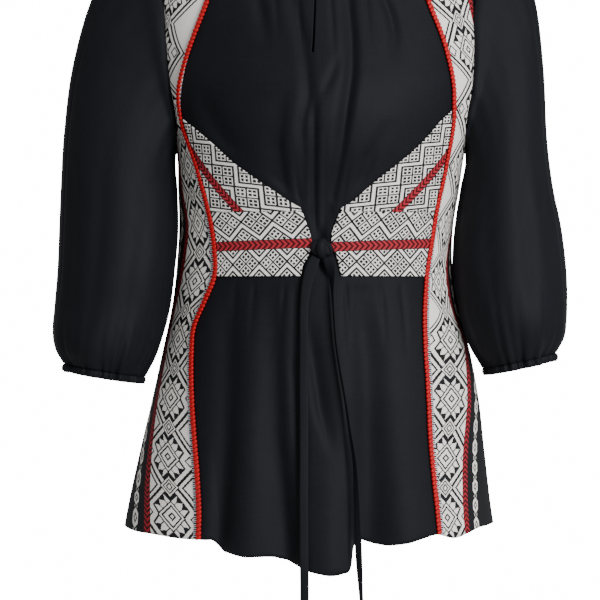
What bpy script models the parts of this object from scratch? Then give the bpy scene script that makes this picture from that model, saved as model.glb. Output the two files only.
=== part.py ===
"""Tunic blouse with gathered front, patterned side panels, crossed waist flaps, ties and bishop sleeves.

Metres, +Z up, the front faces -Y, left and right as seen from the front. The origin is midway
between the two side-neck points, where the shoulders carry the garment.
"""

import math

import bpy
import numpy as np

for old in list(bpy.data.objects):
    bpy.data.objects.remove(old, do_unlink=True)

# Cloth and seams
WALL = 0.0015
SEAM_GAP = 0.0004
SLEEVE_GAP = 0.0008
FLAP_LIFT = 0.0023
FLAP_CLEAR = 0.0036

# Shoulders and neck
NECK_HALF = 0.075
NECK_FRONT_DROP = 0.075
NECK_BACK_DROP = 0.020
SHOULDER_X = 0.180
SHOULDER_DROP = 0.045
SHOULDER_ROUND = 0.060
SLOPE = SHOULDER_DROP / (SHOULDER_X - NECK_HALF)
NECKBAND_HEIGHT = 0.010
SLIT_WIDTH = 0.0012
SLIT_END_Z = -0.198

# Grid sizes
ROWS_LOW = 15
SIDE_COLUMNS = 7
FRONT_HALF_COLUMNS = 18
SHOULDER_BITS = 3
BACK_COLUMNS = 22
SLEEVE_COLUMNS = 40
SLEEVE_SEAM_COLUMN = 17

# Trim, ties and cuffs
TRIM_WIDTH = 0.0052
TRIM_HEIGHT = 0.0030
TRIM_LIFT = 0.0010
TIE_WALL = 0.0016
CUFF_HEIGHT = 0.008

# Torso sections: height, half width at the left, at the right, depth to the front, to the back
TORSO = np.array([
    (-0.760, 0.218, 0.204, 0.140, 0.132),
    (-0.689, 0.207, 0.188, 0.133, 0.127),
    (-0.610, 0.189, 0.178, 0.124, 0.122),
    (-0.556, 0.178, 0.172, 0.118, 0.119),
    (-0.502, 0.168, 0.162, 0.111, 0.114),
    (-0.448, 0.157, 0.149, 0.104, 0.106),
    (-0.405, 0.149, 0.143, 0.100, 0.098),
    (-0.367, 0.145, 0.145, 0.102, 0.094),
    (-0.330, 0.147, 0.149, 0.111, 0.095),
    (-0.285, 0.151, 0.156, 0.125, 0.100),
    (-0.255, 0.161, 0.166, 0.128, 0.104),
    (-0.225, 0.170, 0.175, 0.124, 0.106),
    (-0.190, 0.176, 0.179, 0.114, 0.107),
    (-0.124, 0.180, 0.178, 0.095, 0.101),
    (-0.060, 0.186, 0.186, 0.080, 0.090),
    (0.000, 0.190, 0.190, 0.070, 0.074),
    (0.040, 0.192, 0.192, 0.065, 0.068),
])

# Princess seams: height, x of the left seam, x of the right seam
PRINCESS = np.array([
    (-0.760, -0.1240, 0.1270),
    (-0.694, -0.1242, 0.1230),
    (-0.665, -0.1239, 0.1205),
    (-0.626, -0.1263, 0.1165),
    (-0.583, -0.1299, 0.1132),
    (-0.548, -0.1323, 0.1120),
    (-0.510, -0.1328, 0.1100),
    (-0.484, -0.1319, 0.1086),
    (-0.464, -0.1266, 0.1090),
    (-0.445, -0.1170, 0.1097),
    (-0.428, -0.1096, 0.1108),
    (-0.404, -0.1086, 0.1138),
    (-0.384, -0.1098, 0.1174),
    (-0.353, -0.1157, 0.1218),
    (-0.3175, -0.1247, 0.1296),
    (-0.291, -0.1333, 0.1345),
    (-0.271, -0.1403, 0.1380),
    (-0.2507, -0.1460, 0.1397),
    (-0.233, -0.1468, 0.1392),
    (-0.210, -0.1422, 0.1365),
    (-0.184, -0.1368, 0.1306),
    (-0.164, -0.1272, 0.1240),
    (-0.134, -0.1163, 0.1123),
    (-0.080, -0.1080, 0.1060),
    (-0.0129, -0.1050, 0.1050),
])

# Heights of the rows above the underarm on the inner columns
UPPER_ROWS = (-0.262, -0.235, -0.203, -0.168, -0.130, -0.092, -0.058, -0.0305, -0.0157, -0.0129)

# Armhole edge: height, angle round the body in degrees (90 is the side)
ARMHOLE = (
    (-0.285, 90.0),
    (-0.280, 82.0),
    (-0.268, 74.5),
    (-0.248, 70.0),
    (-0.220, 67.5),
    (-0.185, 66.5),
    (-0.145, 67.0),
    (-0.105, 69.3),
    (-0.072, 71.7),
    (-0.0505, 74.0),
)

# Hem at the front: x, height
HEM_FRONT = np.array([
    (-0.2101, -0.6900),
    (-0.1966, -0.6925),
    (-0.1745, -0.6931),
    (-0.1428, -0.6957),
    (-0.1216, -0.6955),
    (-0.1125, -0.6960),
    (-0.1027, -0.7068),
    (-0.0758, -0.7110),
    (-0.0501, -0.7104),
    (-0.0348, -0.7142),
    (-0.0205, -0.7206),
    (-0.0103, -0.7251),
    (0.0111, -0.7291),
    (0.0254, -0.7262),
    (0.0310, -0.7226),
    (0.0390, -0.6950),
    (0.0469, -0.6953),
    (0.0613, -0.6996),
    (0.0737, -0.7010),
    (0.0915, -0.6986),
    (0.1212, -0.6900),
    (0.1341, -0.6960),
    (0.1473, -0.6950),
    (0.1598, -0.6897),
    (0.1717, -0.6866),
    (0.1879, -0.6867),
])

# Hem at the back: angle in degrees from the back centre (left side is minus), height
HEM_BACK = np.array([
    (-90.0, -0.6900),
    (-70.0, -0.7010),
    (-50.0, -0.7060),
    (-30.0, -0.7130),
    (-12.0, -0.7090),
    (0.0, -0.7130),
    (14.0, -0.7080),
    (32.0, -0.7120),
    (52.0, -0.7030),
    (70.0, -0.6980),
    (90.0, -0.6867),
])

# Front folds: name, width to the left, width to the right, then x, height and depth down the line
FRONT_FOLDS = (
    ("neck gather left", 0.008, 0.006, ((-0.068, -0.120, 0.0030), (-0.059, -0.157, 0.0035), (-0.0535, -0.190, 0.0))),
    ("left of the slit", 0.007, 0.006, ((-0.031, -0.120, 0.0030), (-0.0164, -0.186, 0.0030),
     (-0.0113, -0.236, 0.0035), (-0.0185, -0.268, 0.0035), (-0.0164, -0.299, 0.0035), (-0.018, -0.345, 0.0020))),
    ("right of the slit", 0.009, 0.005, ((0.029, -0.120, 0.0040), (0.034, -0.181, 0.0055), (0.034, -0.214, 0.0060),
     (0.0276, -0.258, 0.0065), (0.022, -0.299, 0.0060), (0.0135, -0.342, 0.0045), (0.0126, -0.372, 0.0020))),
    ("slanting crease", 0.005, 0.005, ((0.022, -0.190, 0.0), (0.012, -0.218, 0.0025), (-0.001, -0.245, 0.0))),
    ("neck gather right", 0.006, 0.006, ((0.061, -0.120, 0.0030), (0.074, -0.152, 0.0040), (0.0779, -0.172, 0.0035),
     (0.0756, -0.200, 0.0))),
    ("broad left", 0.014, 0.007, ((-0.037, -0.225, 0.0), (-0.044, -0.290, 0.0045), (-0.0385, -0.325, 0.0040),
     (-0.034, -0.345, 0.0020))),
    ("fan right", 0.008, 0.008, ((0.072, -0.262, 0.0), (0.0515, -0.301, 0.0035), (0.0435, -0.324, 0.0030),
     (0.038, -0.340, 0.0010))),
    ("centre gather", 0.005, 0.004, ((-0.005, -0.235, 0.0), (-0.006, -0.262, 0.0045), (-0.006, -0.330, 0.0050),
     (-0.006, -0.380, 0.0035), (-0.006, -0.420, 0.0))),
    ("cinched by the knot", 0.008, 0.008, ((0.0018, -0.372, 0.0), (0.0018, -0.385, 0.0060), (0.0018, -0.404, 0.0060),
     (0.0018, -0.425, 0.0))),
    ("under left cup", 0.010, 0.014, ((-0.126, -0.225, 0.0), (-0.118, -0.250, 0.0030), (-0.098, -0.288, 0.0025),
     (-0.090, -0.300, 0.0))),
    ("skirt far left", 0.012, 0.014, ((-0.088, -0.428, 0.0), (-0.0965, -0.478, 0.0050), (-0.098, -0.588, 0.0070),
     (-0.106, -0.715, 0.0100))),
    ("skirt left", 0.016, 0.011, ((-0.0485, -0.428, 0.0010), (-0.0475, -0.480, 0.0055), (-0.045, -0.587, 0.0075),
     (-0.031, -0.725, 0.0095))),
    ("under left tie", 0.007, 0.007, ((-0.024, -0.426, 0.0010), (-0.027, -0.514, 0.0045), (-0.0226, -0.587, 0.0040),
     (-0.0205, -0.650, 0.0))),
    ("below the knot", 0.006, 0.009, ((-0.0125, -0.465, 0.0), (-0.008, -0.502, 0.0050), (0.001, -0.562, 0.0050),
     (0.014, -0.612, 0.0))),
    ("skirt right", 0.016, 0.018, ((0.041, -0.426, 0.0010), (0.046, -0.480, 0.0070), (0.0497, -0.514, 0.0080),
     (0.0525, -0.587, 0.0090), (0.064, -0.725, 0.0060))),
    ("right fold edge", 0.005, 0.032, ((0.030, -0.545, 0.0), (0.033, -0.600, 0.0050), (0.0365, -0.650, 0.0120),
     (0.0385, -0.725, 0.0230))),
    ("forward roll", 0.026, 0.020, ((0.003, -0.560, 0.0), (0.006, -0.640, -0.0050), (0.008, -0.725, -0.0080))),
    ("left roll", 0.018, 0.018, ((-0.074, -0.500, 0.0), (-0.076, -0.600, -0.0040), (-0.077, -0.725, -0.0060))),
)

# Back folds: name, width to the left, to the right, then angle from the back centre, height, depth
BACK_FOLDS = (
    ("far left", 8.0, 9.0, ((-56.0, -0.400, 0.0), (-60.0, -0.560, 0.0060), (-62.0, -0.720, 0.0110))),
    ("left", 9.0, 7.0, ((-26.0, -0.360, 0.0), (-29.0, -0.520, 0.0060), (-33.0, -0.720, 0.0120))),
    ("middle", 8.0, 8.0, ((4.0, -0.340, 0.0), (3.0, -0.500, 0.0050), (-3.0, -0.720, 0.0100))),
    ("right", 7.0, 9.0, ((27.0, -0.370, 0.0), (29.0, -0.540, 0.0060), (28.0, -0.720, 0.0110))),
    ("far right", 8.0, 8.0, ((52.0, -0.400, 0.0), (56.0, -0.560, 0.0050), (60.0, -0.720, 0.0100))),
    ("waist hollow", 22.0, 22.0, ((0.0, -0.250, 0.0), (0.0, -0.370, 0.0060), (0.0, -0.450, 0.0))),
    ("shoulder left", 6.0, 8.0, ((-34.0, -0.100, 0.0), (-40.0, -0.200, 0.0040), (-46.0, -0.300, 0.0))),
    ("shoulder right", 8.0, 6.0, ((36.0, -0.110, 0.0), (41.0, -0.210, 0.0040), (44.0, -0.310, 0.0))),
)

# Upper edge of the waist flaps: x, height. Lower edges and the free inner ends follow
FLAP_TOP_LEFT = np.array([
    (-0.1438, -0.2551),
    (-0.1143, -0.2812),
    (-0.0879, -0.3059),
    (-0.0629, -0.3239),
    (-0.0339, -0.3437),
    (-0.0190, -0.3545),
])
FLAP_TOP_RIGHT = np.array([
    (0.0215, -0.3555),
    (0.0353, -0.3437),
    (0.0585, -0.3230),
    (0.0903, -0.2978),
    (0.1062, -0.2829),
    (0.1364, -0.2471),
])
FLAP_JOIN_Z = -0.3560
FLAP_LOW_Z = -0.4235
FLAP_END_LEFT = np.array([
    (-0.4221, -0.0189),
    (-0.4128, -0.0174),
    (-0.4035, -0.0122),
    (-0.3931, -0.0085),
    (-0.3828, -0.0088),
    (-0.3694, -0.0133),
    (-0.3560, -0.0179),
])
FLAP_END_RIGHT = np.array([
    (-0.4242, 0.0219),
    (-0.4149, 0.0199),
    (-0.4024, 0.0168),
    (-0.3931, 0.0120),
    (-0.3840, 0.0119),
    (-0.3756, 0.0130),
    (-0.3570, 0.0205),
])

# Sleeve rings: x and z of the outer end, x and z of the inner end, y of the centre, half depth
SLEEVE_LEFT = (
    (-0.2765, -0.325, -0.1540, -0.330, -0.008, 0.060),
    (-0.2795, -0.370, -0.1525, -0.373, -0.012, 0.062),
    (-0.2820, -0.415, -0.1550, -0.418, -0.018, 0.064),
    (-0.2850, -0.452, -0.1600, -0.458, -0.024, 0.065),
    (-0.2870, -0.480, -0.1680, -0.487, -0.028, 0.063),
    (-0.2850, -0.500, -0.1765, -0.509, -0.030, 0.058),
    (-0.2790, -0.5155, -0.1880, -0.529, -0.031, 0.046),
)
SLEEVE_RIGHT = (
    (0.2500, -0.325, 0.1548, -0.330, -0.008, 0.056),
    (0.2585, -0.370, 0.1495, -0.373, -0.012, 0.058),
    (0.2645, -0.410, 0.1465, -0.413, -0.018, 0.060),
    (0.2665, -0.440, 0.1490, -0.444, -0.024, 0.061),
    (0.2655, -0.466, 0.1550, -0.471, -0.028, 0.060),
    (0.2635, -0.488, 0.1630, -0.496, -0.030, 0.055),
    (0.2575, -0.508, 0.1765, -0.520, -0.031, 0.043),
)
# Share of the way from the armhole to the first ring
CAP_STEPS = (0.0, 0.16, 0.36, 0.60, 0.82)
CAP_REACH = 0.95
CAP_DIRECTION = (0.90, 0.45)
GATHERS = 10
GATHER_DEPTH = 0.0020

# Ties: x, height, turn of the strip in degrees, distance in front of the cloth, width
TIE_LEFT = (
    (-0.0040, -0.4033, 0.0, 0.0072, 0.0095),
    (-0.0080, -0.4130, 0.0, 0.0072, 0.0125),
    (-0.0115, -0.4250, 0.0, 0.0062, 0.0120),
    (-0.0145, -0.4400, 0.0, 0.0055, 0.0100),
    (-0.0162, -0.4620, 0.0, 0.0048, 0.0090),
    (-0.0163, -0.4900, 3.0, 0.0045, 0.0090),
    (-0.0165, -0.5300, 0.0, 0.0045, 0.0090),
    (-0.0163, -0.5700, 0.0, 0.0045, 0.0090),
    (-0.0163, -0.6100, -4.0, 0.0045, 0.0090),
    (-0.0166, -0.6500, 0.0, 0.0045, 0.0090),
    (-0.0164, -0.6900, 0.0, 0.0045, 0.0090),
    (-0.0162, -0.7200, 0.0, 0.0050, 0.0090),
    (-0.0160, -0.7350, 5.0, 0.0050, 0.0090),
    (-0.0160, -0.7600, 8.0, 0.0050, 0.0090),
    (-0.0162, -0.7900, 4.0, 0.0050, 0.0090),
    (-0.0165, -0.8100, 0.0, 0.0050, 0.0090),
)
TIE_RIGHT = (
    (0.0075, -0.4033, 0.0, 0.0072, 0.0090),
    (0.0105, -0.4130, 25.0, 0.0080, 0.0115),
    (0.0125, -0.4250, 55.0, 0.0080, 0.0110),
    (0.0130, -0.4400, 74.0, 0.0080, 0.0095),
    (0.0142, -0.4620, 80.0, 0.0080, 0.0090),
    (0.0162, -0.4900, 80.0, 0.0080, 0.0090),
    (0.0205, -0.5200, 78.0, 0.0080, 0.0090),
    (0.0258, -0.5500, 78.0, 0.0090, 0.0090),
    (0.0310, -0.5850, 74.0, 0.0110, 0.0090),
    (0.0354, -0.6150, 66.0, 0.0140, 0.0090),
    (0.0372, -0.6500, 50.0, 0.0190, 0.0090),
    (0.0384, -0.6900, 40.0, 0.0250, 0.0090),
    (0.0395, -0.7150, 45.0, 0.0270, 0.0090),
    (0.0410, -0.7400, 62.0, 0.0270, 0.0090),
    (0.0425, -0.7650, 72.0, 0.0270, 0.0090),
    (0.0430, -0.7900, 75.0, 0.0270, 0.0090),
)

# Knot: centre and half sizes
KNOT_CENTRE = (0.00175, -0.1066, -0.3945)
KNOT_HALF = (0.0102, 0.0065, 0.0088)

COLOURS = {
    "black": (0.014, 0.015, 0.019, 1.0),
    "woven": (0.42, 0.41, 0.39, 1.0),
    "red": (0.62, 0.03, 0.025, 1.0),
}


def curve(at, table, column):
    """Smooth value of a table's column, with the table's first column as the key."""
    keys = table[:, 0]
    values = table[:, column]
    at = np.clip(at, keys[0], keys[-1])
    slope = np.gradient(values, keys)
    i = np.clip(np.searchsorted(keys, at, side="right") - 1, 0, len(keys) - 2)
    h = keys[i + 1] - keys[i]
    t = (at - keys[i]) / h
    return (
        (2 * t**3 - 3 * t**2 + 1) * values[i]
        + (t**3 - 2 * t**2 + t) * h * slope[i]
        + (3 * t**2 - 2 * t**3) * values[i + 1]
        + (t**3 - t**2) * h * slope[i + 1]
    )


def unit(v):
    return v / np.maximum(np.linalg.norm(v, axis=-1, keepdims=True), 1e-12)


def half_width(x, z):
    return np.where(x < 0, curve(z, TORSO, 1), curve(z, TORSO, 2))


def angle_at(x, z):
    """Angle round the body of a point given by its x, on the front."""
    return np.arcsin(np.clip(x / half_width(x, z), -1, 1))


def squared_depth(x, z, front):
    d = np.where(front, curve(z, TORSO, 3), curve(z, TORSO, 4))
    return d**2 * np.clip(1 - (x / half_width(x, z)) ** 2, 0, 1)


def torso(theta, z):
    """Points and outward normals of the plain torso. Angle 0 is the front, 90 degrees the right side."""
    theta = np.asarray(theta, float)
    z = np.asarray(z, float)
    side = np.sin(theta)
    w = half_width(side, z)
    front = np.cos(theta) >= 0
    d = np.where(front, curve(z, TORSO, 3), curve(z, TORSO, 4))
    x = w * side
    below = np.clip((-SLOPE * (np.abs(x) - NECK_HALF) - z) / SHOULDER_ROUND, 0, 1)
    q = 1 - (1 - below) ** 2
    q_slope = 2 * (1 - below) / SHOULDER_ROUND
    y = -d * np.cos(theta) * np.sqrt(q)
    h = 1e-4
    a = squared_depth(x, z, front)
    a_z = (squared_depth(x, z + h, front) - squared_depth(x, z - h, front)) / (2 * h)
    gx = 2 * d**2 * x / w**2 * q + a * q_slope * SLOPE * np.sign(x)
    gy = 2 * y
    gz = -a_z * q + a * q_slope
    return np.stack([x, y, z], axis=-1), unit(np.stack([gx, gy, gz], axis=-1))


def trough(at, z, row, scale):
    """Depth of one fold at places given by their key and height."""
    _, left, right, line = row
    pts = np.array(line)[::-1]
    centre = np.interp(z, pts[:, 1], pts[:, 0])
    depth = np.interp(z, pts[:, 1], pts[:, 2])
    top = pts[-1, 1]
    low = pts[0, 1]
    fade = np.clip((top + 0.022 - z) / 0.022, 0, 1) * np.clip((z - low + 0.022) / 0.022, 0, 1)
    off = (at - centre) / scale
    width = np.where(off < 0, left, right)
    return depth * fade * np.exp(-((off / width) ** 2))


def bare(x, z):
    """1 where the front is free, 0 under the flaps, smooth between."""
    top = np.where(
        x < 0,
        np.interp(x, FLAP_TOP_LEFT[:, 0], FLAP_TOP_LEFT[:, 1]),
        np.interp(x, FLAP_TOP_RIGHT[:, 0], FLAP_TOP_RIGHT[:, 1]),
    )
    end = np.where(
        x < 0,
        -np.interp(z, FLAP_END_LEFT[:, 0], FLAP_END_LEFT[:, 1]),
        np.interp(z, FLAP_END_RIGHT[:, 0], FLAP_END_RIGHT[:, 1]),
    )
    away = np.maximum(np.maximum(z - top, FLAP_LOW_Z - 0.002 - z), end - np.abs(x))
    t = np.clip(away / 0.014, 0, 1)
    return t * t * (3 - 2 * t)


def fold_depth(theta, x, z):
    """How far in the folds push the cloth at a place, in metres."""
    front = np.cos(theta) > 0
    deep = np.zeros(np.shape(x))
    for row in FRONT_FOLDS:
        deep = deep + trough(x, z, row, 1.0)
    seam_left = curve(z, PRINCESS, 1)
    seam_right = curve(z, PRINCESS, 2)
    near = np.clip(np.minimum(x - seam_left, seam_right - x) / 0.016, 0, 1)
    deep = deep * near * bare(x, z) * front
    back_angle = np.degrees(np.arctan2(np.sin(theta), -np.cos(theta)))
    back = np.zeros(np.shape(x))
    for row in BACK_FOLDS:
        back = back + trough(back_angle, z, row, 1.0)
    far = np.clip((90 - np.abs(back_angle)) / 14, 0, 1)
    return deep + back * far * (~front)


def cloth_points(theta, z, folded=True):
    """Points of the folded torso, and the plain surface's normals."""
    points, normals = torso(theta, z)
    if folded:
        level = normals * np.array([1.0, 1.0, 0.0])
        points = points - unit(level) * fold_depth(theta, points[..., 0], points[..., 2])[..., None]
    return points, normals


def grid_normals(points, like, closed=False):
    """Normals of a grid of points, on the same side as the given ones."""
    if closed:
        along = np.roll(points, -1, axis=1) - np.roll(points, 1, axis=1)
    else:
        along = np.gradient(points, axis=1)
    up = np.gradient(points, axis=0)
    n = unit(np.cross(along, up))
    sign = np.sign(np.sum(n * like, axis=-1, keepdims=True))
    return n * np.where(sign == 0, 1, sign)


def patch(left, right, low, high):
    """Angles and heights inside four edges. Each edge is a list of (angle, height)."""
    left, right, low, high = (np.array(e, float) for e in (left, right, low, high))
    v = (left[:, 1] - left[0, 1]) / (left[-1, 1] - left[0, 1])
    v = v[:, None, None]
    steps = np.concatenate([[0], np.cumsum(np.abs(np.diff(low[:, 0])))])
    u = (steps / steps[-1])[None, :, None]
    corners = (
        (1 - u) * (1 - v) * left[0]
        + u * (1 - v) * right[0]
        + (1 - u) * v * left[-1]
        + u * v * right[-1]
    )
    return (
        (1 - u) * left[:, None]
        + u * right[:, None]
        + (1 - v) * low[None]
        + v * high[None]
        - corners
    )


def material(name, colour, roughness=0.85):
    mat = bpy.data.materials.new(name)
    mat.use_nodes = True
    bsdf = mat.node_tree.nodes["Principled BSDF"]
    bsdf.inputs["Base Color"].default_value = COLOURS[colour]
    bsdf.inputs["Roughness"].default_value = roughness
    mat.diffuse_color = COLOURS[colour]
    return mat


def solid(name, vertices, faces, colour):
    mesh = bpy.data.meshes.new(name)
    mesh.from_pydata([tuple(v) for v in vertices], [], faces)
    mesh.validate()
    mesh.polygons.foreach_set("use_smooth", [True] * len(mesh.polygons))
    mesh.materials.append(material(name, colour))
    mesh.update()
    obj = bpy.data.objects.new(name, mesh)
    bpy.context.collection.objects.link(obj)
    return obj


def wall_solid(name, points, normals, colour, wall=WALL, closed=False, skip=()):
    """A closed cloth wall about a grid of points."""
    rows, columns = points.shape[:2]
    outer = (points + normals * wall / 2).reshape(-1, 3)
    inner = (points - normals * wall / 2).reshape(-1, 3)
    total = rows * columns
    quads = []
    for i in range(rows - 1):
        for j in range(columns if closed else columns - 1):
            if (i, j) in skip:
                continue
            k = (j + 1) % columns
            quads.append((i * columns + j, i * columns + k, (i + 1) * columns + k, (i + 1) * columns + j))
    middle = quads[len(quads) // 2]
    a, b, c, d = (outer[q] for q in middle)
    facing = np.dot(np.cross(c - a, d - b), normals.reshape(-1, 3)[middle[0]])
    if facing < 0:
        quads = [q[::-1] for q in quads]
    edges = set()
    for q in quads:
        for k in range(4):
            edges.add((q[k], q[(k + 1) % 4]))
    faces = list(quads)
    faces += [tuple(total + v for v in q[::-1]) for q in quads]
    for a, b in sorted(edges):
        if (b, a) not in edges:
            faces.append((b, a, total + a, total + b))
    used = sorted({v for f in faces for v in f})
    place = {v: n for n, v in enumerate(used)}
    both = np.concatenate([outer, inner])
    return solid(name, both[used], [tuple(place[v] for v in f) for f in faces], colour)


def tube_solid(name, rings, colour):
    """A closed tube through rings of points, capped flat at both ends."""
    count = len(rings[0])
    vertices = [p for ring in rings for p in ring]
    faces = []
    for i in range(len(rings) - 1):
        for j in range(count):
            k = (j + 1) % count
            faces.append((i * count + j, i * count + k, (i + 1) * count + k, (i + 1) * count + j))
    faces.append(tuple(reversed(range(count))))
    last = (len(rings) - 1) * count
    faces.append(tuple(last + j for j in range(count)))
    centre = np.mean(rings[0], axis=0)
    ahead = np.mean(rings[1], axis=0) - centre
    turn = np.cross(rings[0][1] - rings[0][0], rings[0][2] - rings[0][1])
    if np.dot(turn, ahead) < 0:
        faces = [f[::-1] for f in faces]
    return solid(name, vertices, faces, colour)


def hem_height(theta):
    """Height of the hem at an angle round the body."""
    back = np.degrees(np.arctan2(np.sin(theta), -np.cos(theta)))
    z = np.full(np.shape(theta), -0.70)
    for _ in range(6):
        x = half_width(np.sin(theta), z) * np.sin(theta)
        ahead = np.interp(x, HEM_FRONT[:, 0], HEM_FRONT[:, 1])
        behind = np.interp(back, HEM_BACK[:, 0], HEM_BACK[:, 1])
        z = np.where(np.cos(theta) > 1e-9, ahead, behind)
    return z


def princess_line(side):
    """(angle, height) up the princess seam on one side, a point a row."""
    column = 1 if side < 0 else 2
    z = -0.694
    for _ in range(8):
        x = curve(z, PRINCESS, column)
        z = float(np.interp(x, HEM_FRONT[:, 0], HEM_FRONT[:, 1]))
    heights = list(np.linspace(z, -0.285, ROWS_LOW + 1)) + list(UPPER_ROWS)
    return [(float(angle_at(curve(h, PRINCESS, column), h)), float(h)) for h in heights]


def side_line(side, back=False):
    """(angle, height) up the side seam and then the armhole."""
    z = float(hem_height(np.array(side * math.pi / 2)))
    line = [(side * math.pi / 2, float(h)) for h in np.linspace(z, ARMHOLE[0][0], ROWS_LOW + 1)]
    for height, degrees in ARMHOLE[1:]:
        angle = math.radians(180 - degrees if back else degrees)
        line.append((side * angle, height))
    top = float(angle_at(np.array(side * SHOULDER_X), -SHOULDER_DROP))
    line.append(((side * math.pi - top) if back else top, -SHOULDER_DROP))
    return line


def shoulder_point(x, back=False):
    z = -SLOPE * (abs(x) - NECK_HALF)
    angle = float(angle_at(np.array(x), z))
    if back:
        angle = math.copysign(math.pi, x) - angle
    return angle, z


def neck_point(turn, drop, back=False):
    """A point of the neckline. Turn runs from -90 degrees at the left to 90 at the right."""
    x = NECK_HALF * math.sin(turn)
    z = -drop * math.cos(turn)
    angle = float(angle_at(np.array(x), z))
    if back:
        angle = math.copysign(math.pi, x if x else 1.0) - angle
    return angle, z


def inset_sides(line, side, amount):
    """Moves a seam line's angles by a distance along the cloth."""
    moved = []
    for angle, z in line:
        span = float(half_width(math.sin(angle), z))
        moved.append((angle + side * amount / span, z))
    return moved


def shift_top(points, amount):
    """Moves the shoulder seam's points off the ridge line, to the front or the back."""
    ridge = np.abs(points[-1, :, 2] + SLOPE * (np.abs(points[-1, :, 0]) - NECK_HALF)) < 1e-6
    points[-1, ridge, 1] += amount
    return points


def panel(name, grid, colour, edges="lrt", lift=0.0, folded=True, ridge=0.0, skip=()):
    points, plain = cloth_points(grid[..., 0], grid[..., 1], folded)
    normals = grid_normals(points, plain)
    if "l" in edges:
        normals[:, 0] = plain[:, 0]
    if "r" in edges:
        normals[:, -1] = plain[:, -1]
    if "t" in edges:
        normals[-1] = plain[-1]
    points = points + plain * lift
    if ridge:
        points = shift_top(points, ridge)
    wall_solid(name, points, normals, colour, skip=skip)
    return points, normals


def make_side_panel(name, side):
    inner = inset_sides(princess_line(side), side, SEAM_GAP / 2)
    outer = inset_sides(side_line(side), -side, SEAM_GAP / 2)
    low_angles = np.linspace(inner[0][0], outer[0][0], SIDE_COLUMNS + 1)
    low = [(a, float(z)) for a, z in zip(low_angles, hem_height(low_angles))]
    low[0] = inner[0]
    low[-1] = outer[0]
    xs = np.linspace(abs(princess_top(side)), SHOULDER_X, SIDE_COLUMNS + 1)
    high = [shoulder_point(side * x) for x in xs]
    high[0] = (high[0][0] + side * SEAM_GAP / 2 / 0.19, high[0][1])
    inner[-1] = high[0]
    outer[-1] = high[-1]
    panel(name, patch(inner, outer, low, high), "woven", ridge=-SEAM_GAP / 2)


def princess_top(side):
    return PRINCESS[-1, 1 if side < 0 else 2]


def front_edges():
    left = inset_sides(princess_line(-1), 1, SEAM_GAP / 2)
    right = inset_sides(princess_line(1), -1, SEAM_GAP / 2)
    n = FRONT_HALF_COLUMNS
    slit = -0.003
    slit_angle = slit / 0.2
    low_angles = np.concatenate([
        np.linspace(left[0][0], slit_angle - 0.012, n + 1),
        np.linspace(slit_angle + 0.012, right[0][0], n + 1),
    ])
    low = [(a, float(z)) for a, z in zip(low_angles, hem_height(low_angles))]
    low[0] = left[0]
    low[-1] = right[0]
    high = [shoulder_point(x) for x in np.linspace(princess_top(-1), -NECK_HALF, SHOULDER_BITS + 1)]
    turns = n - SHOULDER_BITS
    half = SLIT_WIDTH / 2 / NECK_HALF
    middle = slit / NECK_HALF
    first = np.linspace(-math.pi / 2, middle - half, turns + 1)[1:]
    second = np.linspace(middle + half, math.pi / 2, turns + 1)[:-1]
    high += [neck_point(t, NECK_FRONT_DROP) for t in first]
    high += [neck_point(t, NECK_FRONT_DROP) for t in second]
    high += [shoulder_point(x) for x in np.linspace(NECK_HALF, princess_top(1), SHOULDER_BITS + 1)]
    high[0] = (high[0][0] + SEAM_GAP / 2 / 0.19, high[0][1])
    high[-1] = (high[-1][0] - SEAM_GAP / 2 / 0.19, high[-1][1])
    left[-1] = high[0]
    right[-1] = high[-1]
    return left, right, low, high


def make_front():
    left, right, low, high = front_edges()
    grid = patch(left, right, low, high)
    n = FRONT_HALF_COLUMNS
    skip = {(i, n) for i in range(len(grid) - 1) if grid[i, n, 1] > SLIT_END_Z}
    return panel("front_centre", grid, "black", ridge=-SEAM_GAP / 2, skip=skip)


def make_back():
    right = inset_sides(side_line(1, back=True), 1, SEAM_GAP / 2)
    left = [(a + 2 * math.pi, z) for a, z in inset_sides(side_line(-1, back=True), -1, SEAM_GAP / 2)]
    low_angles = np.linspace(right[0][0], left[0][0], BACK_COLUMNS + 1)
    low = [(a, float(z)) for a, z in zip(low_angles, hem_height(low_angles))]
    low[0] = right[0]
    low[-1] = left[0]
    bits = 5
    turns = BACK_COLUMNS - 2 * bits
    high = [shoulder_point(x, True) for x in np.linspace(SHOULDER_X, NECK_HALF, bits + 1)]
    high += [neck_point(t, NECK_BACK_DROP, True) for t in np.linspace(math.pi / 2, -math.pi / 2, turns + 1)[1:]]
    high += [shoulder_point(x, True) for x in np.linspace(-NECK_HALF, -SHOULDER_X, bits + 1)[1:]]
    high = [(a if a > 0 else a + 2 * math.pi, z) for a, z in high]
    right[-1] = high[0]
    left[-1] = high[-1]
    return panel("back", patch(right, left, low, high), "black", ridge=SEAM_GAP / 2)


def on_cloth(x, z):
    return float(angle_at(np.array(x), z)), float(z)


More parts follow.
